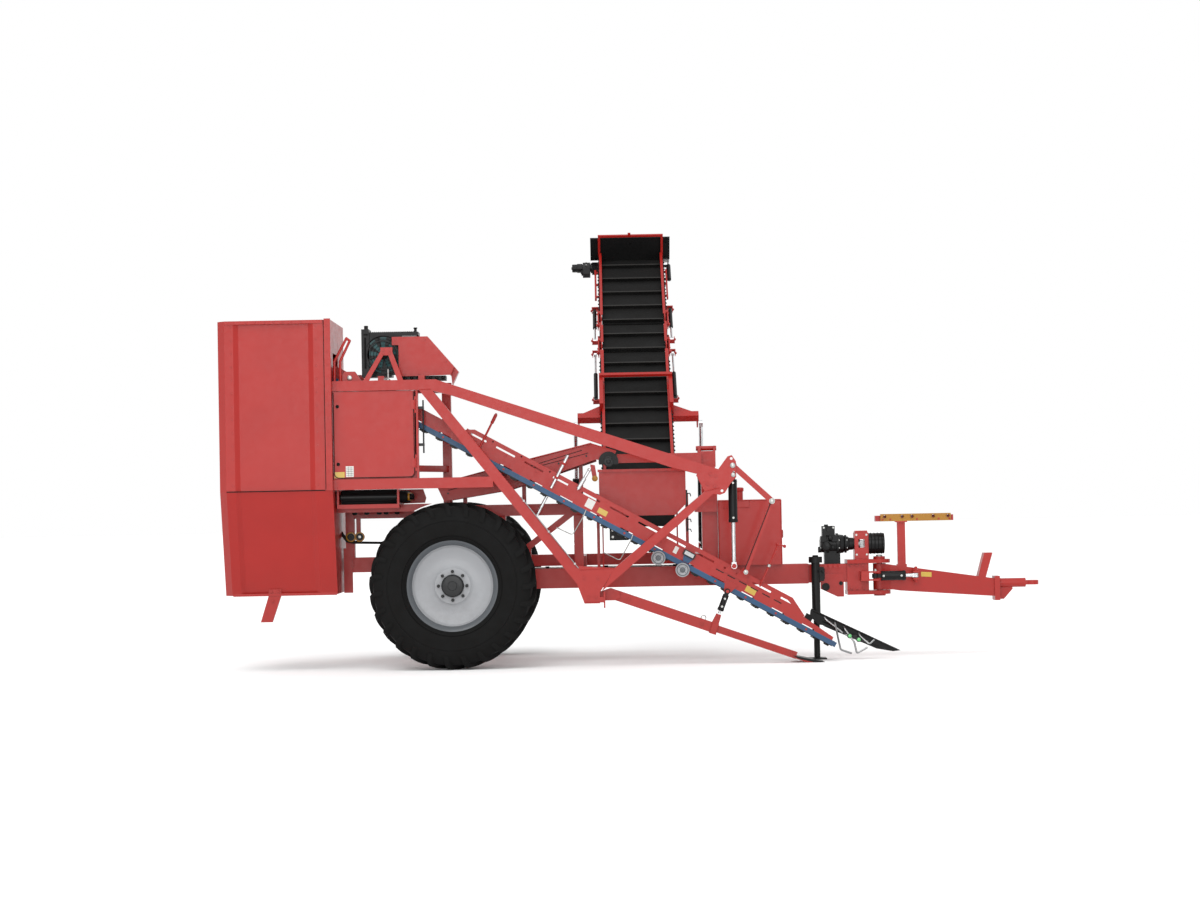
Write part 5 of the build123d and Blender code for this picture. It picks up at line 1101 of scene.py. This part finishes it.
class HARVESTER_OT_cleaning(bpy.types.Operator):
    """Ribs, couplings and end plate of the cleaning rollers, and the drive belt beside them"""
    bl_idname = "harvester.cleaning"
    bl_label = "Cleaning rollers"

    def execute(self, context):
        low, high = corners("roller_bank")
        for i, y in enumerate(ROLLER_LANES):
            rib = Form().block(low.x + 20, high.x - 6, y - 5, y + 5, 1783, 1791)
            ring_of(f"roller_ribs_{i}", rib, 14, (0, y, ROLLER_HEIGHT), AHEAD, "black_rubber")
        shaft = Form().bar((-1110, SHAFT_Y, SHAFT_Z), (-500, SHAFT_Y, SHAFT_Z), 14)
        lobe = [(0, 20), (4, 40), (26, 44), (48, 40), (52, 20)]
        for x in (-990, -870, -746, -675, -565):
            shaft.turned(lobe, (x - 26, SHAFT_Y, SHAFT_Z), AHEAD, 20)
        piece("lobed_shaft", shaft, "black_rubber")
        outline = [(-1226, 1432), (-1112, 1266), (-1040, 1248), (-747, 1240), (-740, 1264), (-960, 1271),
                   (-1090, 1290), (-1206, 1454)]
        piece("drive_belt", Form().plate(outline, -580, -560), "black_rubber")
        self.plates()
        self.couplings()
        self.pulleys()
        shaft = Form().bar((-266, -1150, 2668), (-266, -1150, 2143), 8)
        for z in (2590, 2225):
            shaft.block(-330, -256, -1215, -1200, z - 14, z + 14)
            shaft.block(-276, -256, -1200, -1142, z - 12, z + 12)
        piece("upright_shaft", shaft, "hub", bevel=1.0)
        return {"FINISHED"}

    def plates(self):
        outline = [(-1180, 1565), (-402, 1565), (-331, 1600), (-262, 1625), (-207, 1641), (-1180, 1641)]
        channel = Form().plate(outline, -930, -922).block(-1180, -402, -926, -908, 1565, 1571)
        piece("roller_channel", channel, "red", bevel=1.0)
        piece("pulley_hanger", Form().block(-1010, -966, -546, -500, 1290, 1525), "red", bevel=2.0)
        outline = [(-527, 1789), (-316, 1789), (-286, 1700), (-300, 1650), (-527, 1645)]
        piece("roller_end_plate", Form().plate(outline, -640, -632), "red", bevel=1.5)

    def couplings(self):
        halves, collars = Form(), Form()
        half = [(0, 60), (70, 60), (76, 52), (76, 30), (112, 30), (118, 22), (118, POLE)]
        collar = [(82, 28), (82, 40), (98, 40), (98, 28)]
        for y in ROLLER_LANES:
            halves.turned(half, (-522, y, ROLLER_HEIGHT), AHEAD, 24)
            collars.turned(collar, (-522, y, ROLLER_HEIGHT), AHEAD, 24, True)
        piece("roller_couplings", halves, "black_rubber")
        piece("coupling_collars", collars, "yellow")

    def pulleys(self):
        rims, bosses = Form(), Form()
        for x in (-1060, -971):
            place = (x, -590, PULLEY_Z)
            rims.turned([(0, 46), (4, 50), (9, 50), (11, 46), (11, 38), (4, 36)], place, NEAR, 32)
            bosses.turned([(0, 37), (6, 36), (6, 18), (16, 16), (16, POLE)], place, NEAR, 28)
        piece("pulley_rims", rims, "yellow")
        piece("pulley_bosses", bosses, "black")
        nut = Form().turned([(0, 15), (5, 14), (6, POLE)], (-971, -606, PULLEY_Z), NEAR, 6)
        piece("pulley_nut", nut, "zinc")


class HARVESTER_OT_conveyor(bpy.types.Operator):
    """Rods, side seams, tensioners and drive of the transfer conveyor"""
    bl_idname = "harvester.conveyor"
    bl_label = "Transfer conveyor"

    def execute(self, context):
        rod = Form().bar((40, -724, 1788), (40, -146, 1788), 6, 8)
        row_of("conveyor_rods", rod, 30, Vector((1, 0, 0.2467)) * 47, "zinc")
        wall = -742
        seams = Form().pipe(side_points(wall, (-60, 1770), (1360, 2120)), 3, 6)
        piece("trough_seams", seams.pipe(side_points(wall, (80, 1800), (1300, 2150)), 3, 6), "black")
        fold = side_points(wall - 2, (-180, 1830), (113, 1903), (774, 2070), (1389, 2217))
        piece("trough_fold", Form().pipe(fold, 7, 8), "red")
        drive = Vector((1562, -786, 2030))
        hub = [(-2, 52), (6, 52), (10, 44), (10, 24), (20, 22), (24, 16), (24, POLE)]
        piece("drive_hub", Form().turned(hub, drive, NEAR, 36), "hub", bevel=0.8)
        wall_heads = side_points(wall + 2, (-60, 1740), (220, 1810), (500, 1880), (780, 1950), (1060, 2020),
                                 (1340, 2090), (1600, 2110))
        bolts("drive_bolts", "hub", (5, NEAR, circle(drive + NEAR * 6, 36, 6)), (7, NEAR, wall_heads))
        arms, wheels = Form(), Form()
        for x, z in ((960, 1800), (1400, 1915)):
            arms.plate([(x - 24, z + 90), (x + 24, z + 80), (x + 44, z - 50), (x, z - 60)], wall - 14, wall)
            arms.turned([(0, 18), (20, 18)], (x + 22, -774, z - 54), FAR, 24)
            wheels.turned([(0, 26), (2, 30), (14, 30), (16, 26)], (x + 22, -790, z - 54), FAR, 24)
        piece("tension_arms", arms, "red", bevel=1.5)
        piece("tension_wheels", wheels, "yellow")
        return {"FINISHED"}


class HARVESTER_OT_hopper(bpy.types.Operator):
    """Bolts, belt hooks, rubber skirt and boot plate of the hopper"""
    bl_idname = "harvester.hopper"
    bl_label = "Hopper"

    def execute(self, context):
        face, flange = -764, -750
        rim = [(1500 + 92 * i, face, 1937) for i in range(10)]
        sides = side_points(flange, (1476, 1860), (1476, 1760), (2318, 1860), (2318, 1760), (2318, 1660))
        bolts("hopper_bolts", "red", (7, NEAR, rim + sides))
        hooks = Form().block(2334, 2350, -748, -732, 1310, 1730)
        for z in (1690, 1560, 1430, 1330):
            hooks.pipe(side_points(-740, (2340, z), (2376, z + 6), (2384, z - 26)), 5, 8, 10)
        for z in (1700, 1610):
            hooks.pipe(side_points(-740, (1456, z), (1420, z + 6), (1414, z - 24)), 5, 8, 10)
        piece("belt_hooks", hooks, "black")
        piece("hopper_skirt", Form().block(1510, 2214, -752, -746, 1384, 1478), "black_rubber", bevel=1.0)
        piece("boot_plate", Form().block(1566, 1746, face, -760, 1244, 1360), "black", bevel=1.0)
        bolts("boot_bolts", "zinc", (9, NEAR, [(x, face, z) for x in (1590, 1722) for z in (1270, 1336)]))
        return {"FINISHED"}


# ---------------------------------------------------------------- elevator
ELEV_LEFT, ELEV_RIGHT = 1512.0, 2228.0
ELEV_WALLS = ((ELEV_LEFT, ASTERN), (ELEV_RIGHT, AHEAD))
FLIGHT_STEP, BEARING_STEP, WALL_BOLT_STEP = 271, 68, 170
CYLINDER_SEAT = 1100


class HARVESTER_OT_elevator(bpy.types.Operator):
    """Flight feet, wall flanges, roller bearings, brackets, hood folds and motor of the elevator"""
    bl_idname = "harvester.elevator"
    bl_label = "Elevator"

    def execute(self, context):
        for body, s0, s1 in (("elevator_low", -50, 2160), ("elevator_mid", 2310, 2630),
                             ("elevator_tip", 2830, 4060)):
            flange = Form().slab(s0, s1, 148, 154, ELEV_LEFT - 3, ELEV_LEFT + 26, on_elevator)
            flange.slab(s0, s1, 148, 154, ELEV_RIGHT - 26, ELEV_RIGHT + 3, on_elevator)
            piece(f"wall_flange_{body}", flange, "red", body, bevel=1.5)
            self.side_run(body, s0 + 60, s1 - 60)
            places = [s0 + 60 + WALL_BOLT_STEP * i for i in range(int((s1 - s0) / WALL_BOLT_STEP))]
            places = [s for s in places if abs(s - CYLINDER_SEAT) > 150]
            bolts(f"wall_bolts_{body}", "red",
                  *((7, way, [on_elevator(s, 122, x) for s in places]) for x, way in ELEV_WALLS), body=body)
        self.flights()
        self.forks()
        self.hood()
        self.motor()
        self.ram()
        self.rails()
        self.knees()
        return {"FINISHED"}

    def side_run(self, body, s0, s1):
        """Bearings of the belt's carrying rollers along both walls, with the grease lines that feed them."""
        block, grease = Form(), Form()
        for x, way in ELEV_WALLS:
            outer = x + way.x * 16
            block.slab(s0, s0 + 34, 84, 108, min(x, outer), max(x, outer), on_elevator)
            block.turned([(0, 9), (9, 7), (9, POLE)], on_elevator(s0 + 17, 96, outer), way, 10)
            line = x + way.x * 8
            grease.pipe([on_elevator(s0, 116, line), on_elevator(s1, 116, line)], 4, 8)
        count = int((s1 - s0) / BEARING_STEP)
        row_of(f"roller_bearings_{body}", block, count, UP_ELEVATOR * BEARING_STEP, "black", body)
        piece(f"grease_lines_{body}", grease, "black_rubber", body)

    def flights(self):
        """Bolted strips at the foot of each flight, and a paler rubber strip along its top that paints the
        highlight where that edge catches the light.
        """
        for body, first, count in (("elevator_low", 60, 8), ("elevator_mid", 2228, 2),
                                   ("elevator_tip", 2770, 5)):
            outline = [(first + 14, 82), (first + 46, 82), (first + 44, 86), (first + 14, 88)]
            strip = Form().plate(outline, 1538, 2202, on_elevator)
            for i in range(9):
                foot = on_elevator(first + 32, 86, 1570 + 75 * i)
                strip.turned([(0, 9), (4, 8), (5, POLE)], foot, OFF_ELEVATOR, 10)
            row_of(f"flight_feet_{body}", strip, count, UP_ELEVATOR * FLIGHT_STEP, "black_rubber", body)
            # paler strip along each flight's top edge: painted highlight
            edge = Form().slab(first - 1, first + 15, 116, 122, 1535, 2205, on_elevator)
            row_of(f"flight_edges_{body}", edge, count, UP_ELEVATOR * FLIGHT_STEP, "worn_rubber", body)

    def forks(self):
        """Forked brackets that hold the knee cylinders' ends, with their backs before or behind the pin."""
        for name, body, pin, rear in (("elevator_low", "elevator_low", 1512, -44),
                                      ("elevator_mid", "elevator_mid", 2342, 44),
                                      ("elevator_tip", "elevator_tip", 3180, 44),
                                      ("elevator_mid_b", "elevator_mid", 2600, -40)):
            fork = Form()
            tip = pin + math.copysign(26, -rear)
            web = sorted((pin + rear, pin + rear * 0.72))
            cheek = sorted((pin + rear, tip))
            for x, way in ELEV_WALLS:
                for ends, reach, wide in ((cheek, 0, 8), (cheek, 87, 8), (web, 0, 95)):
                    sides = sorted((x + way.x * reach, x + way.x * (reach + wide)))
                    fork.slab(*ends, -64, -16, *sides, on_elevator)
                bolt = on_elevator(pin, -40, x + way.x * 95)
                fork.turned(stepped(15, 8, 9, 14), bolt, way, 14)
            piece(f"fork_{name}", fork, "red", body, bevel=1.5)

    def hood(self):
        body, end = "elevator_tip", 4096
        fold = Form().slab(end - 6, end, 318, 330, ELEV_LEFT - 96, ELEV_LEFT - 14, on_elevator)
        fold.slab(end - 6, end, 318, 330, ELEV_RIGHT + 14, ELEV_RIGHT + 86, on_elevator)
        piece("hood_folds", fold, "black", body, bevel=1.0)
        piece("top_lug", Form().slab(4078, 4092, 378, 404, 1840, 1872, on_elevator), "red", body, bevel=2.0)
        places = [on_elevator(end, n, x) for x in (ELEV_LEFT - 40, ELEV_RIGHT + 40) for n in (60, 260)]
        places.append(on_elevator(end, 250, 1870))
        bolts("hood_bolts", "black", (8, -UP_ELEVATOR, places), body=body)

    def motor(self):
        body = "elevator_tip"
        ports = Form()
        for s in (3960, 4010):
            base = on_elevator(s, 30, ELEV_LEFT - 150)
            ports.turned(stepped(14, 18, 10, 34), base, OFF_ELEVATOR, 6)
        piece("motor_ports", ports, "zinc", body)
        casing = [(0, 52), (58, 52), (64, 46), (112, 46), (118, 40), (118, 16), (126, 14), (126, POLE)]
        end = Form().turned(casing, on_elevator(3986, 0, ELEV_LEFT - 194), ASTERN, 28)
        piece("motor_end", end, "black", body)
        outline = [(3850, -42), (4030, -46), (4062, -20), (4062, 28), (4020, 52), (3880, 52), (3842, 18)]
        gears = Form().plate(outline, ELEV_LEFT - 190, ELEV_LEFT - 104, on_elevator)
        for s in (3885, 3990):
            cover = on_elevator(s, 4, ELEV_LEFT - 190)
            gears.turned([(0, 34), (16, 30), (16, 14), (24, 12), (24, POLE)], cover, ASTERN, 20)
        piece("motor_gearbox", gears, "black", body, bevel=5.0)

    def ram(self):
        body, line = "elevator_tip", ELEV_RIGHT + 70
        barrel = [(0, 16), (5, 25), (286, 25), (292, 20), (300, 12), (300, POLE)]
        ram = Form().turned(barrel, on_elevator(3660, 40, line), UP_ELEVATOR, 24)
        for s in (3672, 3940):
            ram.slab(s - 9, s + 9, 26, 54, ELEV_RIGHT - 2, line + 2, on_elevator)
        piece("tip_ram", ram, "black", body, bevel=1.0)
        rod = Form().bar(on_elevator(3955, 40, line), on_elevator(4052, 40, line), 9)
        rod.slab(4036, 4058, 26, 54, ELEV_RIGHT - 2, line + 14, on_elevator)
        piece("tip_ram_rod", rod, "zinc", body, bevel=1.0)

    def rails(self):
        rails = Form()
        for x0, x1, a, b in ((ELEV_LEFT - 58, ELEV_LEFT - 36, ELEV_LEFT - 57, ELEV_LEFT - 1),
                             (ELEV_RIGHT + 30, ELEV_RIGHT + 48, ELEV_RIGHT + 1, ELEV_RIGHT + 47)):
            rails.slab(3260, 3830, 40, 76, x0, x1, on_elevator)
            for s in (3300, 3540, 3780):
                rails.slab(s, s + 26, 48, 68, a, b, on_elevator)
        piece("tip_rails", rails, "red", "elevator_tip", bevel=1.5)

    def knees(self):
        for body, knee in (("elevator_mid", 2212), ("elevator_tip", 2730)):
            rows = []
            for x, way in ELEV_WALLS:
                outer = x + way.x * 34
                around = [on_elevator(knee + s, n, outer) for s, n in ((120, 0), (180, 0), (180, 100))]
                rows += [(15, way, [on_elevator(knee, 76, outer)]), (9, way, around)]
            bolts(f"knee_bolts_{body}", "red", *rows, body=body)


# ---------------------------------------------------------------- power unit, tank and hitch
PUMP_Y, PUMP_Z = -450.0, 1150.0


class HARVESTER_OT_power(bpy.types.Operator):
    """Pump covers and ports, drive joint, guard ribs, tank cap and gauge"""
    bl_idname = "harvester.power"
    bl_label = "Power unit"

    def execute(self, context):
        y, z = PUMP_Y, PUMP_Z
        flanges = ((3706, 70, 6, ASTERN), (3884, 102, 8, AHEAD), (3966, 78, 6, AHEAD))
        flanges = [(8, way, circle((x, y, z), r, count, FAR, UP, math.pi / count))
                   for x, r, count, way in flanges]
        feet = [(4045 + k, y - 80, h) for k in (20, 122) for h in (1040, 1240)]
        bolts("pump_bolts", "zinc", *flanges, (7, NEAR, side_points(y - 50, (3738, 1318), (3834, 1318))),
              (8, NEAR, feet))
        self.pump(y, z)
        ribs = Form()
        for x in (4210, 4246, 4282, 4318):
            ribs.turned([(0, 106), (3, 109), (7, 109), (10, 106)], (x, y, z), AHEAD, 40)
        piece("guard_ribs", ribs, "black_rubber")
        joint = Form().turned([(0, 44), (20, 44), (26, 34), (50, 34)], (4086, y, z), AHEAD, 24)
        joint.bar((4118, y - 60, z), (4118, y + 60, z), 15)
        for y0 in (y - 52, y + 34):
            joint.block(4100, 4136, y0, y0 + 18, z - 30, z + 30)
        piece("drive_joint", joint, "steel", bevel=1.5)
        self.tank()
        return {"FINISHED"}

    def pump(self, y, z):
        block = Form().block(3700, 3760, y - 96, y - 60, 1170, 1230)
        block.turned(capped(24, 40, 44, 18), (3800, y - 84, 1216), NEAR, 20)
        block.turned(stepped(20, 24, 14, 40), (3820, y - 84, 1120), NEAR, 6)
        block.block(3740, 3780, y - 72, y - 48, 1336, 1352)
        housing = [(0, 102), (10, 104), (18, 96), (52, 92), (60, 78), (104, 74), (110, 64), (150, 62)]
        block.turned(housing, (3884, y, z), AHEAD, 40)
        filter_cup = [(0, 46), (30, 46), (36, 38), (58, 38), (62, POLE)]
        block.turned(filter_cup, (3760, y - 96, 1132), (-0.2, -0.98, 0), 24)
        block.block(3812, 3872, y - 110, y - 60, 1176, 1240)
        piece("pump_ports", block.bar((3706, y - 40, 1096), (3676, y - 40, 1096), 30), "black", bevel=2.5)

    def tank(self):
        cap = Form().turned([(0, 42), (6, 46), (34, 46), (40, 38), (42, POLE)], (2890, -420, 1704), UP, 32)
        piece("tank_cap", cap, "red")
        piece("tank_gauge", Form().block(3330, 3334, -404, -376, 1232, 1296), "steel", bevel=1.0)
        left, right, near = 2668, 3300, -600
        seams = Form()
        for x in (left, right):
            seams.pipe(side_points(near, (x, 962), (x, 1612)), 6, 8)
        seams.pipe(side_points(near, (left, 1614), (right, 1614)), 6, 8)
        seams.pipe(side_points(near - 2, (2720, 1540), (2980, 1540), (2980, 1600)), 3, 6)
        piece("tank_seams", seams, "red")


RACK_Y = -560
JACK_X, JACK_Y = 3631, -670


class HARVESTER_OT_hitch(bpy.types.Operator):
    """Pins, bolts, label and rack bolts of the drawbar, and the jack's latch, knob and shoe"""
    bl_idname = "harvester.hitch"
    bl_label = "Drawbar and jack"

    def execute(self, context):
        pins = Form().turned(capped(34, 10, 16, 26), (4300, -450, 1017), UP, 28)
        pins.turned(stepped(20, 10, 12, 22), STEER_FOOT + UP * 48, UP, 20)
        piece("steering_pins", pins, "zinc")
        heads = [(x, RACK_Y, z) for x in (4000, 4060, 4120) for z in (700, 930)]
        bolts("head_bolts", "red", (12, NEAR, heads))
        eye = Form().turned(stepped(20, 8, 13, 26), STEER_EYE + UP * 42, UP, 20)
        piece("eye_pin", eye.turned([(0, 20), (8, 20)], STEER_EYE + DOWN * 42, DOWN, 20), "zinc", "drawbar")
        label = Form().plate([(4712, 806), (4818, 800), (4818, 848), (4712, 854)], -542.2, -541.2)
        piece("drawbar_label", label, "yellow_vinyl", "drawbar")
        self.rack()
        self.jack()
        upper = [(0, 24), (24, 24), (28, 15), (52, 15), (56, 10), (56, POLE)]
        lower = [(0, 24), (22, 24), (26, 16), (42, 14), (42, POLE)]
        pin = Form().turned(upper, STEER_EYE + UP * 31, UP, 20).turned(lower, STEER_EYE + DOWN * 31, DOWN, 20)
        piece("steer_pin_heads", pin, "red", "drawbar")
        return {"FINISHED"}

    def rack(self):
        hitch = [(5512, y, z) for y in (-510, -390) for z in (590, 760)]
        rail = [(x, RACK_Y, 1390) for x in (4330, 4410, 4680, 4900, 5010)]
        bolts("drawbar_bolts", "red", (13, AHEAD, hitch), (7, NEAR, rail), body="drawbar")
        grommets = Form()
        for x in (4352, 4530, 4630, 4845, 4995):
            grommets.turned([(0, 17), (3, 22), (5, 22), (5, 17)], (x, RACK_Y, 1418), NEAR, 24, True)
        piece("rack_grommets", grommets, "yellow", "drawbar")

    def jack(self):
        latch = Form().block(3712, 3722, -688, -652, 800, 912)
        latch.turned([(0, 9), (70, 9), (76, 14), (100, 14), (104, 8)], (3700, -690, 880), NEAR, 16)
        piece("jack_latch", latch, "black", bevel=1.5)
        bush = Form()
        for x, z, r in ((3742, 720, 33), (3896, 754, 13)):
            ring = [(-5, r - 4), (-5, r + 7), (1, r + 7), (12, r), (12, r - 4)]
            bush.turned(ring, (x, -554, z), FAR, 28, True)
            bush.turned([(9, r - 3), (12, r - 3)], (x, -554, z), FAR, 28)
        piece("plate_bushes", bush, "black")
        knob = [(0, 26), (6, 30), (14, 30), (18, 22), (18, POLE)]
        piece("jack_knob", Form().turned(knob, (JACK_X, JACK_Y, 1028), UP, 28), "black_rubber")
        shoe = Form().turned(capped(60, 3, 7, 36), (JACK_X, JACK_Y, 12), UP, 24)
        piece("jack_shoe", shoe, "black", "jack_leg")


class HARVESTER_OT_share(bpy.types.Operator):
    """Ring, bolts, hub, welds and wearing edge of the share beam"""
    bl_idname = "harvester.share"
    bl_label = "Share beam"

    def execute(self, context):
        body, face = "share_beam", -1165
        large = [on_share(s, 0, face) for s in (140, 900)]
        blade = [on_share(s, 0, -1157) for s in (1180, 1420, 1660)]
        eye = [on_share(1032, 121, face)]
        bolts("share_bolts", "red", (13, NEAR, large), (9, NEAR, blade), (12, NEAR, eye), body=body)
        ring = circle(on_share(900, 62, -1125), 24, 24)
        piece("share_ring", Form().pipe(ring + ring[:1], 5, 8), "zinc", body)
        hub = [(0, 48), (10, 50), (18, 40), (18, POLE)]
        piece("share_hub", Form().turned(hub, on_share(0, 0, face), NEAR, 28), "red", body)
        outline = [(3346, 72), (3408, 58), (3640, 8), (3662, 0.6), (3560, 0.6), (3404, 38)]
        piece("share_edge", Form().plate(outline, -1171, -919), "black", body, bevel=0.5)
        weld = Form()
        for s in (996, 1062):
            weld.pipe([on_share(s, -58, -1172), on_share(s, 50, -1172)], 4, 6)
        piece("share_welds", weld, "red", body)
        return {"FINISHED"}


# ---------------------------------------------------------------- stage
FLOOR_HALF = 120.0
# just under the ground, so that floor and tyres don't share a face
FLOOR_Z = -0.001


class HARVESTER_OT_stage(bpy.types.Operator):
    """Sets the floor, the soft lamps, the pale world and the camera"""
    bl_idname = "harvester.stage"
    bl_label = "Stage"

    def execute(self, context):
        scene = context.scene
        scene.view_settings.view_transform = "Standard"
        paper = bpy.data.meshes.new("floor")
        edges = [(x * FLOOR_HALF, y * FLOOR_HALF, FLOOR_Z) for x, y in ((-1, -1), (1, -1), (1, 1), (-1, 1))]
        paper.from_pydata(edges, [], [(0, 1, 2, 3)])
        paper.materials.append(FINISHES["floor"])
        ground = self.placed(scene, "floor", paper)
        self.world(scene)
        self.lamps(scene)
        self.camera(scene)
        return {"FINISHED"}

    def placed(self, scene, name, data):
        made = bpy.data.objects.new(name, data)
        scene.collection.objects.link(made)
        return made

    def world(self, scene):
        """Even white surroundings."""
        world = bpy.data.worlds.new("studio")
        scene.world = world
        world.use_nodes = True
        light = world.node_tree.nodes["Background"]
        light.inputs["Color"].default_value = (1, 1, 1, 1)
        light.inputs["Strength"].default_value = 1.0

    def lamps(self, scene):
        """Broad sun that lights the paper evenly to its far edge, and a wide lamp before the machine."""
        lamp = bpy.data.lights.new("sun", "SUN")
        lamp.energy, lamp.angle = 1.1, math.radians(40)
        self.placed(scene, "sun", lamp).rotation_euler = self.towards(Vector((0.25, 0.55, -1.0)))
        lamp = bpy.data.lights.new("front", "AREA")
        lamp.size, lamp.energy = 18.0, 2900
        front = self.placed(scene, "front", lamp)
        front.location = at(1500, -30000, 9500)
        front.rotation_euler = self.towards(at(1500, 0, 3000) - front.location)

    def towards(self, direction):
        return direction.to_track_quat("-Z", "Y").to_euler()

    def camera(self, scene):
        """Level camera far out on the near side, tilted and rolled by about a degree."""
        lens = bpy.data.cameras.new("camera")
        lens.sensor_width, lens.lens = 36.0, 73.29
        lens.clip_end = 400
        tilt, roll = math.radians(1.1725), math.radians(1.1)
        look = Vector((0, math.cos(tilt), math.sin(tilt)))
        up = AHEAD.cross(look)
        side = AHEAD * math.cos(roll) - up * math.sin(roll)
        top = up * math.cos(roll) + AHEAD * math.sin(roll)
        turn = Matrix((side, top, -look)).transposed()
        scene.camera = self.placed(scene, "camera", lens)
        scene.camera.matrix_world = Matrix.Translation(at(1479, -25350, 1644)) @ turn.to_4x4()


OPERATORS = (
    HARVESTER_OT_coat, HARVESTER_OT_tyres, HARVESTER_OT_rims, HARVESTER_OT_chute_trim, HARVESTER_OT_door_trim,
    HARVESTER_OT_cooler, HARVESTER_OT_frame_bolts, HARVESTER_OT_pipes, HARVESTER_OT_lifting_unit,
    HARVESTER_OT_divider, HARVESTER_OT_link_pins, HARVESTER_OT_cylinder_fittings, HARVESTER_OT_cleaning,
    HARVESTER_OT_conveyor, HARVESTER_OT_hopper, HARVESTER_OT_elevator, HARVESTER_OT_power, HARVESTER_OT_hitch,
    HARVESTER_OT_share, HARVESTER_OT_stage)


class HARVESTER_PT_panel(bpy.types.Panel):
    """Lists the machine's sizes, colours and pieces"""
    bl_idname = "HARVESTER_PT_panel"
    bl_label = "Root harvester"
    bl_space_type = "VIEW_3D"
    bl_region_type = "UI"
    bl_category = "Harvester"

    def draw(self, context):
        for group in settings(context):
            for key in group.bl_rna.properties.keys():
                if key not in ("rna_type", "name"):
                    self.layout.prop(group, key)
        for operator in OPERATORS:
            self.layout.operator(operator.bl_idname)


CLASSES = (HarvesterPaint, HarvesterSizes, *OPERATORS, HARVESTER_PT_panel)


def register():
    for cls in CLASSES:
        bpy.utils.register_class(cls)
    bpy.types.Scene.harvester_paint = PointerProperty(type=HarvesterPaint)
    bpy.types.Scene.harvester_sizes = PointerProperty(type=HarvesterSizes)


def unregister():
    del bpy.types.Scene.harvester_sizes
    del bpy.types.Scene.harvester_paint
    for cls in reversed(CLASSES):
        bpy.utils.unregister_class(cls)


def main():
    register()
    for operator in OPERATORS:
        group, name = operator.bl_idname.split(".")
        getattr(getattr(bpy.ops, group), name)()


if __name__ == "__main__":
    main()
